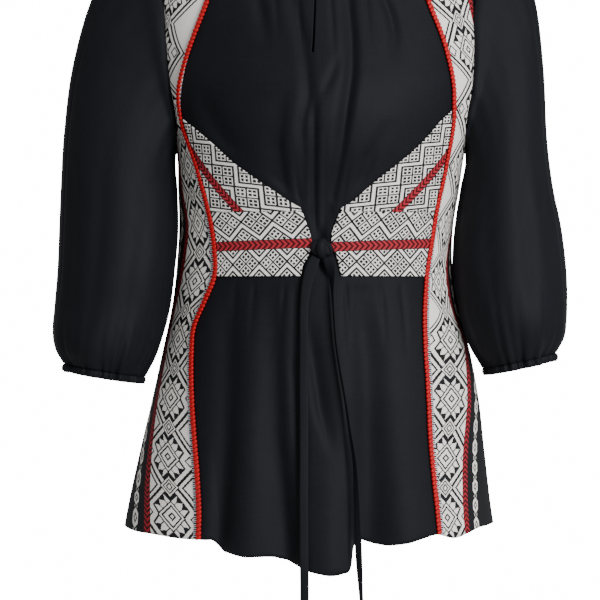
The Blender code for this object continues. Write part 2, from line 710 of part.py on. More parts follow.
def make_flaps(side, suffix):
    """The upper and lower pieces of one waist flap, laid on the front."""
    column = 1 if side < 0 else 2
    top = FLAP_TOP_LEFT if side < 0 else FLAP_TOP_RIGHT[::-1]
    end = FLAP_END_LEFT if side < 0 else FLAP_END_RIGHT
    gap = SEAM_GAP / 2

    def outer_edge(z):
        return on_cloth(curve(z, PRINCESS, column) - side * FLAP_CLEAR, z)

    top_z = float(top[0, 1]) + FLAP_CLEAR * 0.8
    columns = 9
    heights = np.linspace(FLAP_JOIN_Z + gap, top_z - 0.004, 5)
    outer = [outer_edge(z) for z in heights]
    tip = float(top[-1, 0])
    inner = [on_cloth(tip, z) for z in np.linspace(FLAP_JOIN_Z + gap, FLAP_JOIN_Z + 0.0035, 5)]
    start = math.sin(outer[-1][0]) * float(half_width(side, heights[-1]))
    xs = np.linspace(start, tip, columns + 1)
    order = top[np.argsort(top[:, 0])]
    high = [on_cloth(x, float(np.interp(x, order[:, 0], order[:, 1]))) for x in xs]
    low_start = math.sin(outer[0][0]) * float(half_width(side, heights[0]))
    low = [on_cloth(x, FLAP_JOIN_Z + gap) for x in np.linspace(low_start, tip, columns + 1)]
    high[0] = outer[-1]
    high[-1] = inner[-1]
    grid = patch(outer, inner, low, high)
    panel("bust_flap_" + suffix, grid, "woven", edges="", lift=FLAP_LIFT, folded=False)

    heights = end[:, 0].copy()
    heights[0] = FLAP_LOW_Z
    heights[-1] = FLAP_JOIN_Z - gap
    outer = [outer_edge(z) for z in heights]
    inner = [on_cloth(x, z) for x, z in zip(end[:, 1], heights)]
    low_start = math.sin(outer[0][0]) * float(half_width(side, heights[0]))
    high_start = math.sin(outer[-1][0]) * float(half_width(side, heights[-1]))
    low = [on_cloth(x, heights[0]) for x in np.linspace(low_start, float(end[0, 1]), columns + 1)]
    high = [on_cloth(x, heights[-1]) for x in np.linspace(high_start, float(end[-1, 1]), columns + 1)]
    low[0] = outer[0]
    low[-1] = inner[0]
    high[0] = outer[-1]
    high[-1] = inner[-1]
    grid = patch(outer, inner, low, high)
    panel("waist_band_" + suffix, grid, "woven", edges="", lift=FLAP_LIFT, folded=False)


def make_trim(name, side):
    """Flattened cord along a princess seam."""
    line = princess_line(side)
    line[-1] = (line[-1][0], line[-1][1] - 0.0004)
    angles = np.array([a for a, _ in line])
    heights = np.array([z for _, z in line])
    points, normals = cloth_points(angles, heights)
    along = unit(np.gradient(points, axis=0))
    normals = unit(normals - along * np.sum(normals * along, axis=-1, keepdims=True))
    across = np.cross(along, normals)
    centre = points + normals * (WALL / 2 + TRIM_LIFT + TRIM_HEIGHT / 2)
    rings = []
    for c, a, n in zip(centre, across, normals):
        ring = []
        for k in range(8):
            t = (k + 0.5) * math.pi / 4
            ring.append(c + a * TRIM_WIDTH / 2 * math.cos(t) + n * TRIM_HEIGHT / 2 * math.sin(t))
        rings.append(ring)
    tube_solid(name, rings, "red")


def armhole_loop(side):
    """Points and normals round an armhole, from the underarm over the front to the shoulder and back."""
    front = side_line(side)[ROWS_LOW:]
    back = side_line(side, back=True)[ROWS_LOW:]
    line = front + back[::-1][1:-1]
    angles = np.array([a for a, _ in line])
    heights = np.array([z for _, z in line])
    points, normals = torso(angles, heights)
    mid_points = (points + np.roll(points, -1, axis=0)) / 2
    mid_normals = unit(normals + np.roll(normals, -1, axis=0))
    loop = np.empty((2 * len(points), 3))
    normal = np.empty_like(loop)
    loop[0::2] = points
    loop[1::2] = mid_points
    normal[0::2] = normals
    normal[1::2] = mid_normals
    return loop, normal


def sleeve_ring(row, turns):
    xo, zo, xi, zi, yc, half = row
    centre = np.array([(xo + xi) / 2, yc, (zo + zi) / 2])
    across = np.array([(xo - xi) / 2, 0.0, (zo - zi) / 2])
    ring = centre + across * np.cos(turns)[:, None] + np.array([0.0, -half, 0.0]) * np.sin(turns)[:, None]
    return ring, centre


def gather(turns, count, share):
    """Ripple of the gathers above a cuff, uneven round the sleeve."""
    return np.cos(count * (turns + 0.16 * np.sin(2 * turns + 0.6))) * share


def drawn_in(grid):
    """A grid with its first and last columns moved in by half a seam's gap."""
    grid = grid.copy()
    grid[:, 0] += unit(grid[:, 1] - grid[:, 0]) * SEAM_GAP / 2
    grid[:, -1] += unit(grid[:, -2] - grid[:, -1]) * SEAM_GAP / 2
    return grid


def make_sleeve(suffix, side, table):
    """A sleeve's front and back pieces, seamed over the arm and under it, and its cuff."""
    loop, loop_normals = armhole_loop(side)
    turns = math.pi - np.arange(SLEEVE_COLUMNS) * 2 * math.pi / SLEEVE_COLUMNS
    rings = [sleeve_ring(row, turns) for row in table]
    first, _ = rings[0]
    reach = np.linalg.norm(first - loop, axis=1, keepdims=True) * CAP_REACH
    out = np.array([side * CAP_DIRECTION[0], 0.0, -CAP_DIRECTION[1]])
    share = (1 - np.cos(turns)) / 2
    start = unit(out * (1 - share[:, None]) + np.array([side * 0.35, 0.0, -1.0]) * share[:, None])
    down = unit(rings[1][0] - first)
    grid = []
    for t in CAP_STEPS:
        h00, h10 = 2 * t**3 - 3 * t**2 + 1, t**3 - 2 * t**2 + t
        h01, h11 = 3 * t**2 - 2 * t**3, t**3 - t**2
        grid.append(h00 * loop + h10 * reach * start + h01 * first + h11 * reach * down)
    grid[0] = loop + start * SLEEVE_GAP
    depths = (0.0, 0.0, 0.0, 0.10, 0.35, 0.75, 1.0)
    for (ring, centre), share_of_gather in zip(rings, depths):
        radial = unit(ring - centre)
        ring = ring + radial * (gather(turns, GATHERS, share_of_gather) * GATHER_DEPTH)[:, None]
        grid.append(ring)
    grid = np.array(grid)
    centres = grid.mean(axis=1, keepdims=True)
    normals = grid_normals(grid, grid - centres, closed=True)
    normals[0] = loop_normals
    last_radial = unit(grid[-1] - grid[-1].mean(axis=0))
    normals[-1] = last_radial
    around = np.arange(SLEEVE_COLUMNS + 1) % SLEEVE_COLUMNS
    for piece, columns in (("front", around[:SLEEVE_SEAM_COLUMN + 1]), ("back", around[SLEEVE_SEAM_COLUMN:])):
        name = "sleeve_" + piece + "_" + suffix
        wall_solid(name, drawn_in(grid[:, columns]), normals[:, columns], "black")

    ring = grid[-1]
    centre = ring.mean(axis=0)
    spread = np.cross(ring[0] - centre, ring[SLEEVE_COLUMNS // 4] - centre)
    axis = unit(spread * np.sign(-spread[2]))
    cuff = np.array([ring + axis * SLEEVE_GAP, ring + axis * CUFF_HEIGHT])
    wall_solid("cuff_" + suffix, cuff, np.array([last_radial, last_radial]), "black", closed=True)


def make_neckband(front_points, back_points):
    """Narrow binding round the neck, open at the slit."""
    n = FRONT_HALF_COLUMNS
    top = front_points[-1]
    right_half = top[n + 1:2 * n + 2 - SHOULDER_BITS]
    left_half = top[SHOULDER_BITS:n + 1]
    bits = 5
    behind = back_points[-1][bits + 1:BACK_COLUMNS - bits]
    ring = np.concatenate([right_half, behind, left_half])
    level = ring.copy()
    level[:, 2] = 0
    centre = np.array([0.0, float(level[:, 1].mean()), 0.0])
    outward = unit(level - centre)
    rise = unit(np.array([0.0, 0.0, 1.0]) - 0.25 * outward)
    face = unit(outward + 0.25 * np.array([0.0, 0.0, 1.0]))
    base = ring + rise * (WALL + SEAM_GAP)
    grid = np.array([base, base + rise * NECKBAND_HEIGHT])
    wall_solid("neckband", grid, np.array([face, face]), "black")


def boxed(value, power=0.6):
    return math.copysign(abs(value) ** power, value)


def make_knot():
    rows, columns = 8, 16
    centre = np.array(KNOT_CENTRE)
    vertices = []
    for i in range(1, rows):
        lat = math.pi * i / rows
        belt = boxed(math.sin(lat))
        for j in range(columns):
            lon = 2 * math.pi * j / columns
            vertices.append(centre + np.array([
                KNOT_HALF[0] * belt * boxed(math.cos(lon)),
                KNOT_HALF[1] * belt * boxed(math.sin(lon)),
                KNOT_HALF[2] * boxed(math.cos(lat)),
            ]))
    top = len(vertices)
    vertices.append(centre + np.array([0, 0, KNOT_HALF[2]]))
    vertices.append(centre - np.array([0, 0, KNOT_HALF[2]]))
    faces = []
    for j in range(columns):
        k = (j + 1) % columns
        faces.append((top, j, k))
        for i in range(rows - 2):
            faces.append((i * columns + j, (i + 1) * columns + j, (i + 1) * columns + k, i * columns + k))
        faces.append((top + 1, (rows - 2) * columns + k, (rows - 2) * columns + j))
    solid("tie_knot", vertices, faces, "black")


def front_y(x, z):
    """How far forward the folded front stands at a place."""
    height = max(z, -0.715)
    angle = angle_at(np.array(x), height)
    points, _ = cloth_points(np.array([angle]), np.array([height]))
    return float(points[0, 1])


def make_tie(suffix, table):
    """A flat strip hanging in front of the skirt."""
    rows = np.array(table)
    centres = []
    for x, z, _, lift, _ in rows:
        ahead = min(front_y(x + dx, z) for dx in (-0.004, 0.0, 0.004))
        centres.append((x, ahead - lift, z))
    centres = np.array(centres)
    smooth = centres.copy()
    for i in range(1, len(rows) - 1):
        smooth[i, 1] = min(centres[i, 1], (centres[i - 1, 1] + 2 * centres[i, 1] + centres[i + 1, 1]) / 4)
    along = unit(np.gradient(smooth, axis=0))
    rings = []
    for c, t, turn, width in zip(smooth, along, np.radians(rows[:, 2]), rows[:, 4]):
        level = np.array([math.cos(turn), -math.sin(turn), 0.0])
        across = unit(level - t * np.dot(level, t))
        face = np.cross(t, across)
        w = across * width / 2
        h = face * TIE_WALL / 2
        rings.append([c - w - h, c + w - h, c + w + h, c - w + h])
    tube_solid("tie_tail_" + suffix, rings, "black")


front_points, _ = make_front()
back_points, _ = make_back()
make_side_panel("side_panel_left", -1)
make_side_panel("side_panel_right", 1)
make_flaps(-1, "left")
make_flaps(1, "right")
make_trim("cord_trim_left", -1)
make_trim("cord_trim_right", 1)
make_sleeve("left", -1, SLEEVE_LEFT)
make_sleeve("right", 1, SLEEVE_RIGHT)
make_neckband(front_points, back_points)
make_knot()
make_tie("left", TIE_LEFT)
make_tie("right", TIE_RIGHT)
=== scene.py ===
# %% [markdown]
# # A tunic blouse, sewn piece by piece
#
# The real blouse is cut from light black cloth, with two side panels and two waist flaps of a black
# and white figured weave. Ribbed red cord runs down the long front seams, and two narrow ties are
# knotted at the waist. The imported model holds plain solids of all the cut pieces. This lesson dresses
# each of them in thin cloth that follows the same form.

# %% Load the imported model
import math

import bpy
import numpy as np
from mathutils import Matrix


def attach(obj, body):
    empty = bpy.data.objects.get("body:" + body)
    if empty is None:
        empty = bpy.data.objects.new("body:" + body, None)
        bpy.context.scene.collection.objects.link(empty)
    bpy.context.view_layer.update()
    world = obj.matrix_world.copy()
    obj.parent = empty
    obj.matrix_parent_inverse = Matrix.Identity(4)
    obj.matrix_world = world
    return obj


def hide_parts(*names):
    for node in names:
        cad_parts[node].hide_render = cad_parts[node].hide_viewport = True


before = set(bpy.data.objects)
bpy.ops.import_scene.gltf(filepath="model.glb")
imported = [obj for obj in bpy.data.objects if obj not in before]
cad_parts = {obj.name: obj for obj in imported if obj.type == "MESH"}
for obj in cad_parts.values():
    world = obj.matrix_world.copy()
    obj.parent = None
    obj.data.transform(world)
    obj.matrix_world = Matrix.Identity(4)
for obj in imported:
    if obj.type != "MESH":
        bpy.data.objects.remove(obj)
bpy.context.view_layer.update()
bpy.ops.object.select_all(action="DESELECT")
print("packed nodes:", len(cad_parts))

# %% [markdown]
# ## The camera
#
# The photograph was taken straight from the front. A level camera 2.4 m away, a little below the waist
# and left of the middle, gives the same framing: 600 pixels span 0.648 m at the garment's middle.

# %% Camera
CAMERA_AWAY = 2.4
PICTURE_SPAN = 0.648
SENSOR_WIDTH = 36.0
camera_data = bpy.data.cameras.new("camera")
camera_data.sensor_width = SENSOR_WIDTH
camera_data.lens = SENSOR_WIDTH * CAMERA_AWAY / PICTURE_SPAN
camera_data.clip_end = 30.0
camera = bpy.data.objects.new("camera", camera_data)
camera.location = (-0.0205, -CAMERA_AWAY, -0.448)
camera.rotation_euler = (math.pi / 2, 0.0, 0.0)
bpy.context.collection.objects.link(camera)
bpy.context.scene.camera = camera
print("lens:", round(camera_data.lens, 1), "mm")

# %% [markdown]
# ## The form under the cloth
#
# A dress form can be given as a table of sections: at each height, how wide it is to the left and
# right, and how deep to the front and back. Between the rows a smooth curve fills in. Any point of the
# cloth is then named by its angle round the body and its height.

# %% Sections of the torso
# Seams and thickness of the cloth
SEAM_GAP = 0.00012
SLEEVE_GAP = 0.0003
CLOTH = 0.0010

# Shoulders and neck
NECK_HALF = 0.075
NECK_FRONT_DROP = 0.075
NECK_BACK_DROP = 0.020
SHOULDER_X = 0.180
SHOULDER_DROP = 0.045
SHOULDER_ROUND = 0.060
SLOPE = SHOULDER_DROP / (SHOULDER_X - NECK_HALF)
NECKBAND_HEIGHT = 0.010
SLIT_X = -0.003
SLIT_WIDTH = 0.0012
SLIT_END_Z = -0.198

# Grid sizes
ROWS_LOW = 15
SIDE_COLUMNS = 7
FRONT_HALF_COLUMNS = 18
SHOULDER_BITS = 3
BACK_COLUMNS = 22
BACK_SHOULDER_BITS = 5
SLEEVE_COLUMNS = 40
SLEEVE_SEAM_COLUMN = 17
BODY_FINER = 6

# Torso sections: height, half width at the left, at the right, depth to the front, to the back
TORSO = np.array([
    (-0.760, 0.218, 0.204, 0.140, 0.132),
    (-0.689, 0.209, 0.188, 0.133, 0.127),
    (-0.610, 0.1925, 0.178, 0.124, 0.122),
    (-0.556, 0.1798, 0.172, 0.118, 0.119),
    (-0.502, 0.168, 0.162, 0.111, 0.114),
    (-0.448, 0.157, 0.149, 0.104, 0.106),
    (-0.405, 0.1525, 0.143, 0.100, 0.098),
    (-0.367, 0.1505, 0.1445, 0.102, 0.094),
    (-0.330, 0.1515, 0.1505, 0.111, 0.095),
    (-0.285, 0.1535, 0.1575, 0.125, 0.100),
    (-0.255, 0.161, 0.166, 0.128, 0.104),
    (-0.225, 0.170, 0.175, 0.124, 0.106),
    (-0.190, 0.176, 0.179, 0.114, 0.107),
    (-0.124, 0.180, 0.178, 0.095, 0.101),
    (-0.060, 0.186, 0.186, 0.080, 0.090),
    (0.000, 0.190, 0.190, 0.070, 0.074),
    (0.040, 0.192, 0.192, 0.065, 0.068),
])

# Princess seams: height, x of the left seam, x of the right seam
PRINCESS = np.array([
    (-0.760, -0.1240, 0.1270),
    (-0.694, -0.1242, 0.1230),
    (-0.665, -0.1239, 0.1205),
    (-0.626, -0.1263, 0.1165),
    (-0.583, -0.1299, 0.1132),
    (-0.548, -0.1323, 0.1120),
    (-0.510, -0.1328, 0.1100),
    (-0.484, -0.1319, 0.1086),
    (-0.464, -0.1266, 0.1090),
    (-0.445, -0.1170, 0.1097),
    (-0.428, -0.1096, 0.1108),
    (-0.404, -0.1086, 0.1138),
    (-0.384, -0.1098, 0.1174),
    (-0.353, -0.1157, 0.1218),
    (-0.3175, -0.1247, 0.1296),
    (-0.291, -0.1333, 0.1345),
    (-0.271, -0.1403, 0.1380),
    (-0.2507, -0.1460, 0.1397),
    (-0.233, -0.1468, 0.1392),
    (-0.210, -0.1422, 0.1365),
    (-0.184, -0.1368, 0.1306),
    (-0.164, -0.1272, 0.1240),
    (-0.134, -0.1163, 0.1123),
    (-0.080, -0.1080, 0.1060),
    (-0.0129, -0.1050, 0.1050),
])

# Heights of the rows above the underarm on the inner columns
UPPER_ROWS = (-0.262, -0.235, -0.203, -0.168, -0.130, -0.092, -0.058, -0.0305, -0.0157, -0.0129)

# Armhole edge: height, angle round the body in degrees (90 is the side)
ARMHOLE = (
    (-0.285, 90.0),
    (-0.280, 82.0),
    (-0.268, 74.5),
    (-0.248, 70.0),
    (-0.220, 67.5),
    (-0.185, 66.5),
    (-0.145, 67.0),
    (-0.105, 69.3),
    (-0.072, 71.7),
    (-0.0505, 74.0),
)

# Hem at the front: x, height
HEM_FRONT = np.array([
    (-0.2101, -0.6900),
    (-0.1966, -0.6925),
    (-0.1745, -0.6931),
    (-0.1428, -0.6957),
    (-0.1216, -0.6955),
    (-0.1125, -0.6960),
    (-0.1027, -0.7068),
    (-0.0758, -0.7110),
    (-0.0501, -0.7104),
    (-0.0348, -0.7142),
    (-0.0205, -0.7206),
    (-0.0103, -0.7251),
    (0.0111, -0.7291),
    (0.0254, -0.7262),
    (0.0310, -0.7226),
    (0.0390, -0.6950),
    (0.0469, -0.6953),
    (0.0613, -0.6996),
    (0.0737, -0.7010),
    (0.0915, -0.6986),
    (0.1212, -0.6900),
    (0.1341, -0.6960),
    (0.1473, -0.6950),
    (0.1598, -0.6897),
    (0.1717, -0.6866),
    (0.1879, -0.6867),
])

# Hem at the back: angle in degrees from the back centre (left side is minus), height
HEM_BACK = np.array([
    (-90.0, -0.6900),
    (-70.0, -0.7010),
    (-50.0, -0.7060),
    (-30.0, -0.7130),
    (-12.0, -0.7090),
    (0.0, -0.7130),
    (14.0, -0.7080),
    (32.0, -0.7120),
    (52.0, -0.7030),
    (70.0, -0.6980),
    (90.0, -0.6867),
])

print("torso sections:", len(TORSO))

# %% [markdown]
# ## Reading the form
#
# These helpers turn an angle and a height into a point and an outward direction. The folds are soft
# troughs pushed into the form, each along its own line, so the cloth can be shaped by a short table.

# %% Smooth curves and the plain torso
def smooth_between(t, first, first_slope, second, second_slope):
    """Smooth way from one value to the next, with a slope at each."""
    return (
        (2 * t**3 - 3 * t**2 + 1) * first
        + (t**3 - 2 * t**2 + t) * first_slope
        + (3 * t**2 - 2 * t**3) * second
        + (t**3 - t**2) * second_slope
    )


def curve(at, table, column):
    """Smooth value of a table's column, with the table's first column as the key."""
    keys = table[:, 0]
    values = table[:, column]
    at = np.clip(at, keys[0], keys[-1])
    slope = np.gradient(values, keys)
    i = np.clip(np.searchsorted(keys, at, side="right") - 1, 0, len(keys) - 2)
    h = keys[i + 1] - keys[i]
    t = (at - keys[i]) / h
    return smooth_between(t, values[i], h * slope[i], values[i + 1], h * slope[i + 1])


def unit(v):
    return v / np.maximum(np.linalg.norm(v, axis=-1, keepdims=True), 1e-12)


def half_width(x, z):
    return np.where(x < 0, curve(z, TORSO, 1), curve(z, TORSO, 2))


def angle_at(x, z):
    """Angle round the body of a point given by its x, on the front."""
    return np.arcsin(np.clip(x / half_width(x, z), -1, 1))


def squared_depth(x, z, front):
    d = np.where(front, curve(z, TORSO, 3), curve(z, TORSO, 4))
    return d**2 * np.clip(1 - (x / half_width(x, z)) ** 2, 0, 1)


def torso(theta, z):
    """Points and outward normals of the plain torso. Angle 0 is the front, 90 degrees the right side."""
    theta = np.asarray(theta, float)
    z = np.asarray(z, float)
    side = np.sin(theta)
    w = half_width(side, z)
    front = np.cos(theta) >= 0
    d = np.where(front, curve(z, TORSO, 3), curve(z, TORSO, 4))
    x = w * side
    below = np.clip((-SLOPE * (np.abs(x) - NECK_HALF) - z) / SHOULDER_ROUND, 0, 1)
    q = 1 - (1 - below) ** 2
    q_slope = 2 * (1 - below) / SHOULDER_ROUND
    y = -d * np.cos(theta) * np.sqrt(q)
    h = 1e-4
    a = squared_depth(x, z, front)
    a_z = (squared_depth(x, z + h, front) - squared_depth(x, z - h, front)) / (2 * h)
    gx = 2 * d**2 * x / w**2 * q + a * q_slope * SLOPE * np.sign(x)
    gy = 2 * y
    gz = -a_z * q + a * q_slope
    return np.stack([x, y, z], axis=-1), unit(np.stack([gx, gy, gz], axis=-1))


# %% Edges of the flaps
# Upper edge of the waist flaps: x, height. Lower edges and the free inner ends follow
FLAP_TOP_LEFT = np.array([
    (-0.1438, -0.2551),
    (-0.1143, -0.2812),
    (-0.0879, -0.3059),
    (-0.0629, -0.3239),
    (-0.0339, -0.3437),
    (-0.0190, -0.3545),
])
FLAP_TOP_RIGHT = np.array([
    (0.0215, -0.3555),
    (0.0353, -0.3437),
    (0.0585, -0.3230),
    (0.0903, -0.2978),
    (0.1062, -0.2829),
    (0.1364, -0.2471),
])
FLAP_JOIN_Z = -0.3560
FLAP_LOW_Z = -0.4235
FLAP_END_LEFT = np.array([
    (-0.4221, -0.0189),
    (-0.4128, -0.0174),
    (-0.4035, -0.0122),
    (-0.3931, -0.0085),
    (-0.3828, -0.0088),
    (-0.3694, -0.0133),
    (-0.3560, -0.0179),
])
FLAP_END_RIGHT = np.array([
    (-0.4242, 0.0219),
    (-0.4149, 0.0199),
    (-0.4024, 0.0168),
    (-0.3931, 0.0120),
    (-0.3840, 0.0119),
    (-0.3756, 0.0130),
    (-0.3570, 0.0205),
])

# %% The folds
# Front folds: name, width to the left, width to the right, then x, height and depth down the line
FRONT_FOLDS = (
    ("neck gather left", 0.008, 0.006, ((-0.068, -0.12, 0.003), (-0.059, -0.157, 0.0035),
     (-0.0535, -0.19, 0.0))),
    ("left of the slit", 0.007, 0.006, ((-0.031, -0.12, 0.003), (-0.0164, -0.186, 0.003),
     (-0.0113, -0.236, 0.0035), (-0.0185, -0.268, 0.0035), (-0.0164, -0.299, 0.0035),
     (-0.018, -0.345, 0.002))),
    ("right of the slit", 0.009, 0.005, ((0.029, -0.12, 0.004), (0.034, -0.181, 0.0055),
     (0.034, -0.214, 0.006), (0.0276, -0.258, 0.0065), (0.022, -0.299, 0.006), (0.0135, -0.342, 0.0045),
     (0.0126, -0.372, 0.002))),
    ("slanting crease", 0.005, 0.005, ((0.022, -0.19, 0.0), (0.012, -0.218, 0.0025),
     (-0.001, -0.245, 0.0))),
    ("neck gather right", 0.006, 0.006, ((0.061, -0.12, 0.003), (0.074, -0.152, 0.004),
     (0.0779, -0.172, 0.0035), (0.0756, -0.2, 0.0))),
    ("broad left", 0.014, 0.007, ((-0.037, -0.225, 0.0), (-0.044, -0.29, 0.0045),
     (-0.0385, -0.325, 0.004), (-0.034, -0.345, 0.002))),
    ("fan right", 0.008, 0.008, ((0.072, -0.262, 0.0), (0.0515, -0.301, 0.0035),
     (0.0435, -0.324, 0.003), (0.038, -0.34, 0.001))),
    ("centre gather", 0.005, 0.004, ((-0.005, -0.235, 0.0), (-0.006, -0.262, 0.0045),
     (-0.006, -0.33, 0.005), (-0.006, -0.38, 0.0035), (-0.006, -0.42, 0.0))),
    ("cinched by the knot", 0.008, 0.008, ((0.0018, -0.372, 0.0), (0.0018, -0.385, 0.006),
     (0.0018, -0.404, 0.006), (0.0018, -0.425, 0.0))),
    ("under left cup", 0.01, 0.014, ((-0.126, -0.225, 0.0), (-0.118, -0.25, 0.003),
     (-0.098, -0.288, 0.0025), (-0.09, -0.3, 0.0))),
    ("skirt far left", 0.012, 0.014, ((-0.088, -0.428, 0.0), (-0.0965, -0.478, 0.005),
     (-0.098, -0.588, 0.007), (-0.106, -0.715, 0.01))),
    ("skirt left", 0.016, 0.011, ((-0.0485, -0.428, 0.001), (-0.0475, -0.48, 0.0055),
     (-0.045, -0.587, 0.0075), (-0.031, -0.725, 0.0095))),
    ("under left tie", 0.007, 0.007, ((-0.024, -0.426, 0.001), (-0.027, -0.514, 0.0045),
     (-0.0226, -0.587, 0.004), (-0.0205, -0.65, 0.0))),
    ("below the knot", 0.006, 0.009, ((-0.0125, -0.465, 0.0), (-0.008, -0.502, 0.005),
     (0.001, -0.562, 0.005), (0.014, -0.612, 0.0))),
    ("skirt right", 0.016, 0.018, ((0.041, -0.426, 0.001), (0.046, -0.48, 0.007),
     (0.0497, -0.514, 0.008), (0.0525, -0.587, 0.009), (0.064, -0.725, 0.006))),
    ("right fold edge", 0.005, 0.032, ((0.03, -0.545, 0.0), (0.033, -0.6, 0.005),
     (0.0365, -0.65, 0.012), (0.0385, -0.725, 0.023))),
    ("forward roll", 0.026, 0.02, ((0.003, -0.56, 0.0), (0.006, -0.64, -0.005),
     (0.008, -0.725, -0.008))),
    ("left roll", 0.018, 0.018, ((-0.074, -0.5, 0.0), (-0.076, -0.6, -0.004),
     (-0.077, -0.725, -0.006))),
)

# Back folds: name, width to the left, to the right, then angle from the back centre, height, depth
BACK_FOLDS = (
    ("far left", 8.0, 9.0, ((-56.0, -0.4, 0.0), (-60.0, -0.56, 0.006), (-62.0, -0.72, 0.011))),
    ("left", 9.0, 7.0, ((-26.0, -0.36, 0.0), (-29.0, -0.52, 0.006), (-33.0, -0.72, 0.012))),
    ("middle", 8.0, 8.0, ((4.0, -0.34, 0.0), (3.0, -0.5, 0.005), (-3.0, -0.72, 0.01))),
    ("right", 7.0, 9.0, ((27.0, -0.37, 0.0), (29.0, -0.54, 0.006), (28.0, -0.72, 0.011))),
    ("far right", 8.0, 8.0, ((52.0, -0.4, 0.0), (56.0, -0.56, 0.005), (60.0, -0.72, 0.01))),
    ("waist hollow", 22.0, 22.0, ((0.0, -0.25, 0.0), (0.0, -0.37, 0.006), (0.0, -0.45, 0.0))),
    ("shoulder left", 6.0, 8.0, ((-34.0, -0.1, 0.0), (-40.0, -0.2, 0.004), (-46.0, -0.3, 0.0))),
    ("shoulder right", 8.0, 6.0, ((36.0, -0.11, 0.0), (41.0, -0.21, 0.004), (44.0, -0.31, 0.0))),
)

# Finer creases of the front, laid between the main folds
FINE_FOLDS = (
    ("neck 1", 0.003, 0.003, ((-0.022, -0.12, 0.0014), (-0.02, -0.165, 0.0012), (-0.019, -0.2, 0.0))),
    ("neck 2", 0.003, 0.003, ((0.01, -0.118, 0.0014), (0.013, -0.16, 0.0014), (0.015, -0.205, 0.0))),
    ("neck 3", 0.004, 0.003, ((-0.047, -0.118, 0.0013), (-0.044, -0.16, 0.0009), (-0.041, -0.19, 0.0))),
    ("neck 4", 0.003, 0.004, ((0.046, -0.118, 0.0014), (0.05, -0.158, 0.001), (0.053, -0.185, 0.0))),
    ("waist 1", 0.0026, 0.0026, ((0.0065, -0.27, 0.0), (0.005, -0.32, 0.0014),
     (0.0042, -0.372, 0.0012))),
    ("waist 2", 0.0026, 0.003, ((-0.0275, -0.29, 0.0), (-0.024, -0.33, 0.0016),
     (-0.019, -0.365, 0.001))),
    ("waist 3", 0.003, 0.0026, ((0.034, -0.285, 0.0), (0.027, -0.325, 0.0016), (0.02, -0.362, 0.001))),
    ("under 1", 0.003, 0.003, ((-0.068, -0.426, 0.0012), (-0.07, -0.455, 0.0014), (-0.072, -0.5, 0.0))),
    ("under 2", 0.0028, 0.003, ((-0.036, -0.426, 0.0013), (-0.038, -0.45, 0.0014),
     (-0.04, -0.49, 0.0))),
    ("under 3", 0.0028, 0.0028, ((0.026, -0.426, 0.0012), (0.028, -0.455, 0.0016),
     (0.031, -0.51, 0.0))),
    ("under 4", 0.003, 0.0034, ((0.062, -0.426, 0.0012), (0.066, -0.455, 0.0014), (0.07, -0.5, 0.0))),
    ("under 5", 0.0034, 0.003, ((0.084, -0.426, 0.0012), (0.088, -0.46, 0.0012), (0.091, -0.51, 0.0))),
    ("under 6", 0.003, 0.0034, ((-0.088, -0.428, 0.001), (-0.09, -0.452, 0.0012),
     (-0.093, -0.48, 0.0))),
)
BACK_FINE = (
    ("neck a", 1.6, 1.6, ((-14.0, -0.03, 0.0014), (-15.0, -0.08, 0.001), (-15.5, -0.13, 0.0))),
    ("neck b", 1.6, 1.6, ((-5.0, -0.03, 0.0014), (-5.0, -0.09, 0.0012), (-4.0, -0.15, 0.0))),
    ("neck c", 1.6, 1.8, ((6.0, -0.03, 0.0014), (6.5, -0.085, 0.0012), (7.0, -0.14, 0.0))),
    ("neck d", 1.8, 1.6, ((16.0, -0.03, 0.0012), (17.0, -0.08, 0.001), (18.0, -0.125, 0.0))),
    ("waist a", 2.2, 2.0, ((-14.0, -0.33, 0.0), (-13.0, -0.39, 0.0018), (-15.0, -0.47, 0.0))),
    ("waist b", 2.0, 2.4, ((15.0, -0.32, 0.0), (14.0, -0.385, 0.0018), (16.0, -0.48, 0.0))),
    ("waist c", 2.0, 2.0, ((-40.0, -0.33, 0.0), (-42.0, -0.4, 0.0014), (-43.0, -0.47, 0.0))),
    ("waist d", 2.0, 2.0, ((40.0, -0.33, 0.0), (42.0, -0.4, 0.0014), (44.0, -0.48, 0.0))),
)
print("folds laid by hand:", len(FRONT_FOLDS) + len(BACK_FOLDS) + len(FINE_FOLDS) + len(BACK_FINE))

# %% Troughs in the cloth
# Lengths over which a fold fades: past its ends, at the front's seams, at the flaps, at the side seams
FOLD_FADE = 0.022
SEAM_FADE = 0.016
FLAP_FADE = 0.014
SIDE_FADE_DEGREES = 14


def trough(at, z, row):
    """Depth of one fold at places given by their key and height."""
    _, left, right, line = row
    pts = np.array(line)[::-1]
    centre = np.interp(z, pts[:, 1], pts[:, 0])
    depth = np.interp(z, pts[:, 1], pts[:, 2])
    top = pts[-1, 1]
    low = pts[0, 1]
    fade_up = np.clip((top + FOLD_FADE - z) / FOLD_FADE, 0, 1)
    fade_down = np.clip((z - low + FOLD_FADE) / FOLD_FADE, 0, 1)
    off = at - centre
    width = np.where(off < 0, left, right)
    return depth * fade_up * fade_down * np.exp(-((off / width) ** 2))


def bare(x, z):
    """1 where the front is free, 0 under the flaps, smooth between."""
    top = np.where(
        x < 0,
        np.interp(x, FLAP_TOP_LEFT[:, 0], FLAP_TOP_LEFT[:, 1]),
        np.interp(x, FLAP_TOP_RIGHT[:, 0], FLAP_TOP_RIGHT[:, 1]),
    )
    end = np.where(
        x < 0,
        -np.interp(z, FLAP_END_LEFT[:, 0], FLAP_END_LEFT[:, 1]),
        np.interp(z, FLAP_END_RIGHT[:, 0], FLAP_END_RIGHT[:, 1]),
    )
    away = np.maximum(np.maximum(z - top, FLAP_LOW_Z - 0.002 - z), end - np.abs(x))
    t = np.clip(away / FLAP_FADE, 0, 1)
    return t * t * (3 - 2 * t)


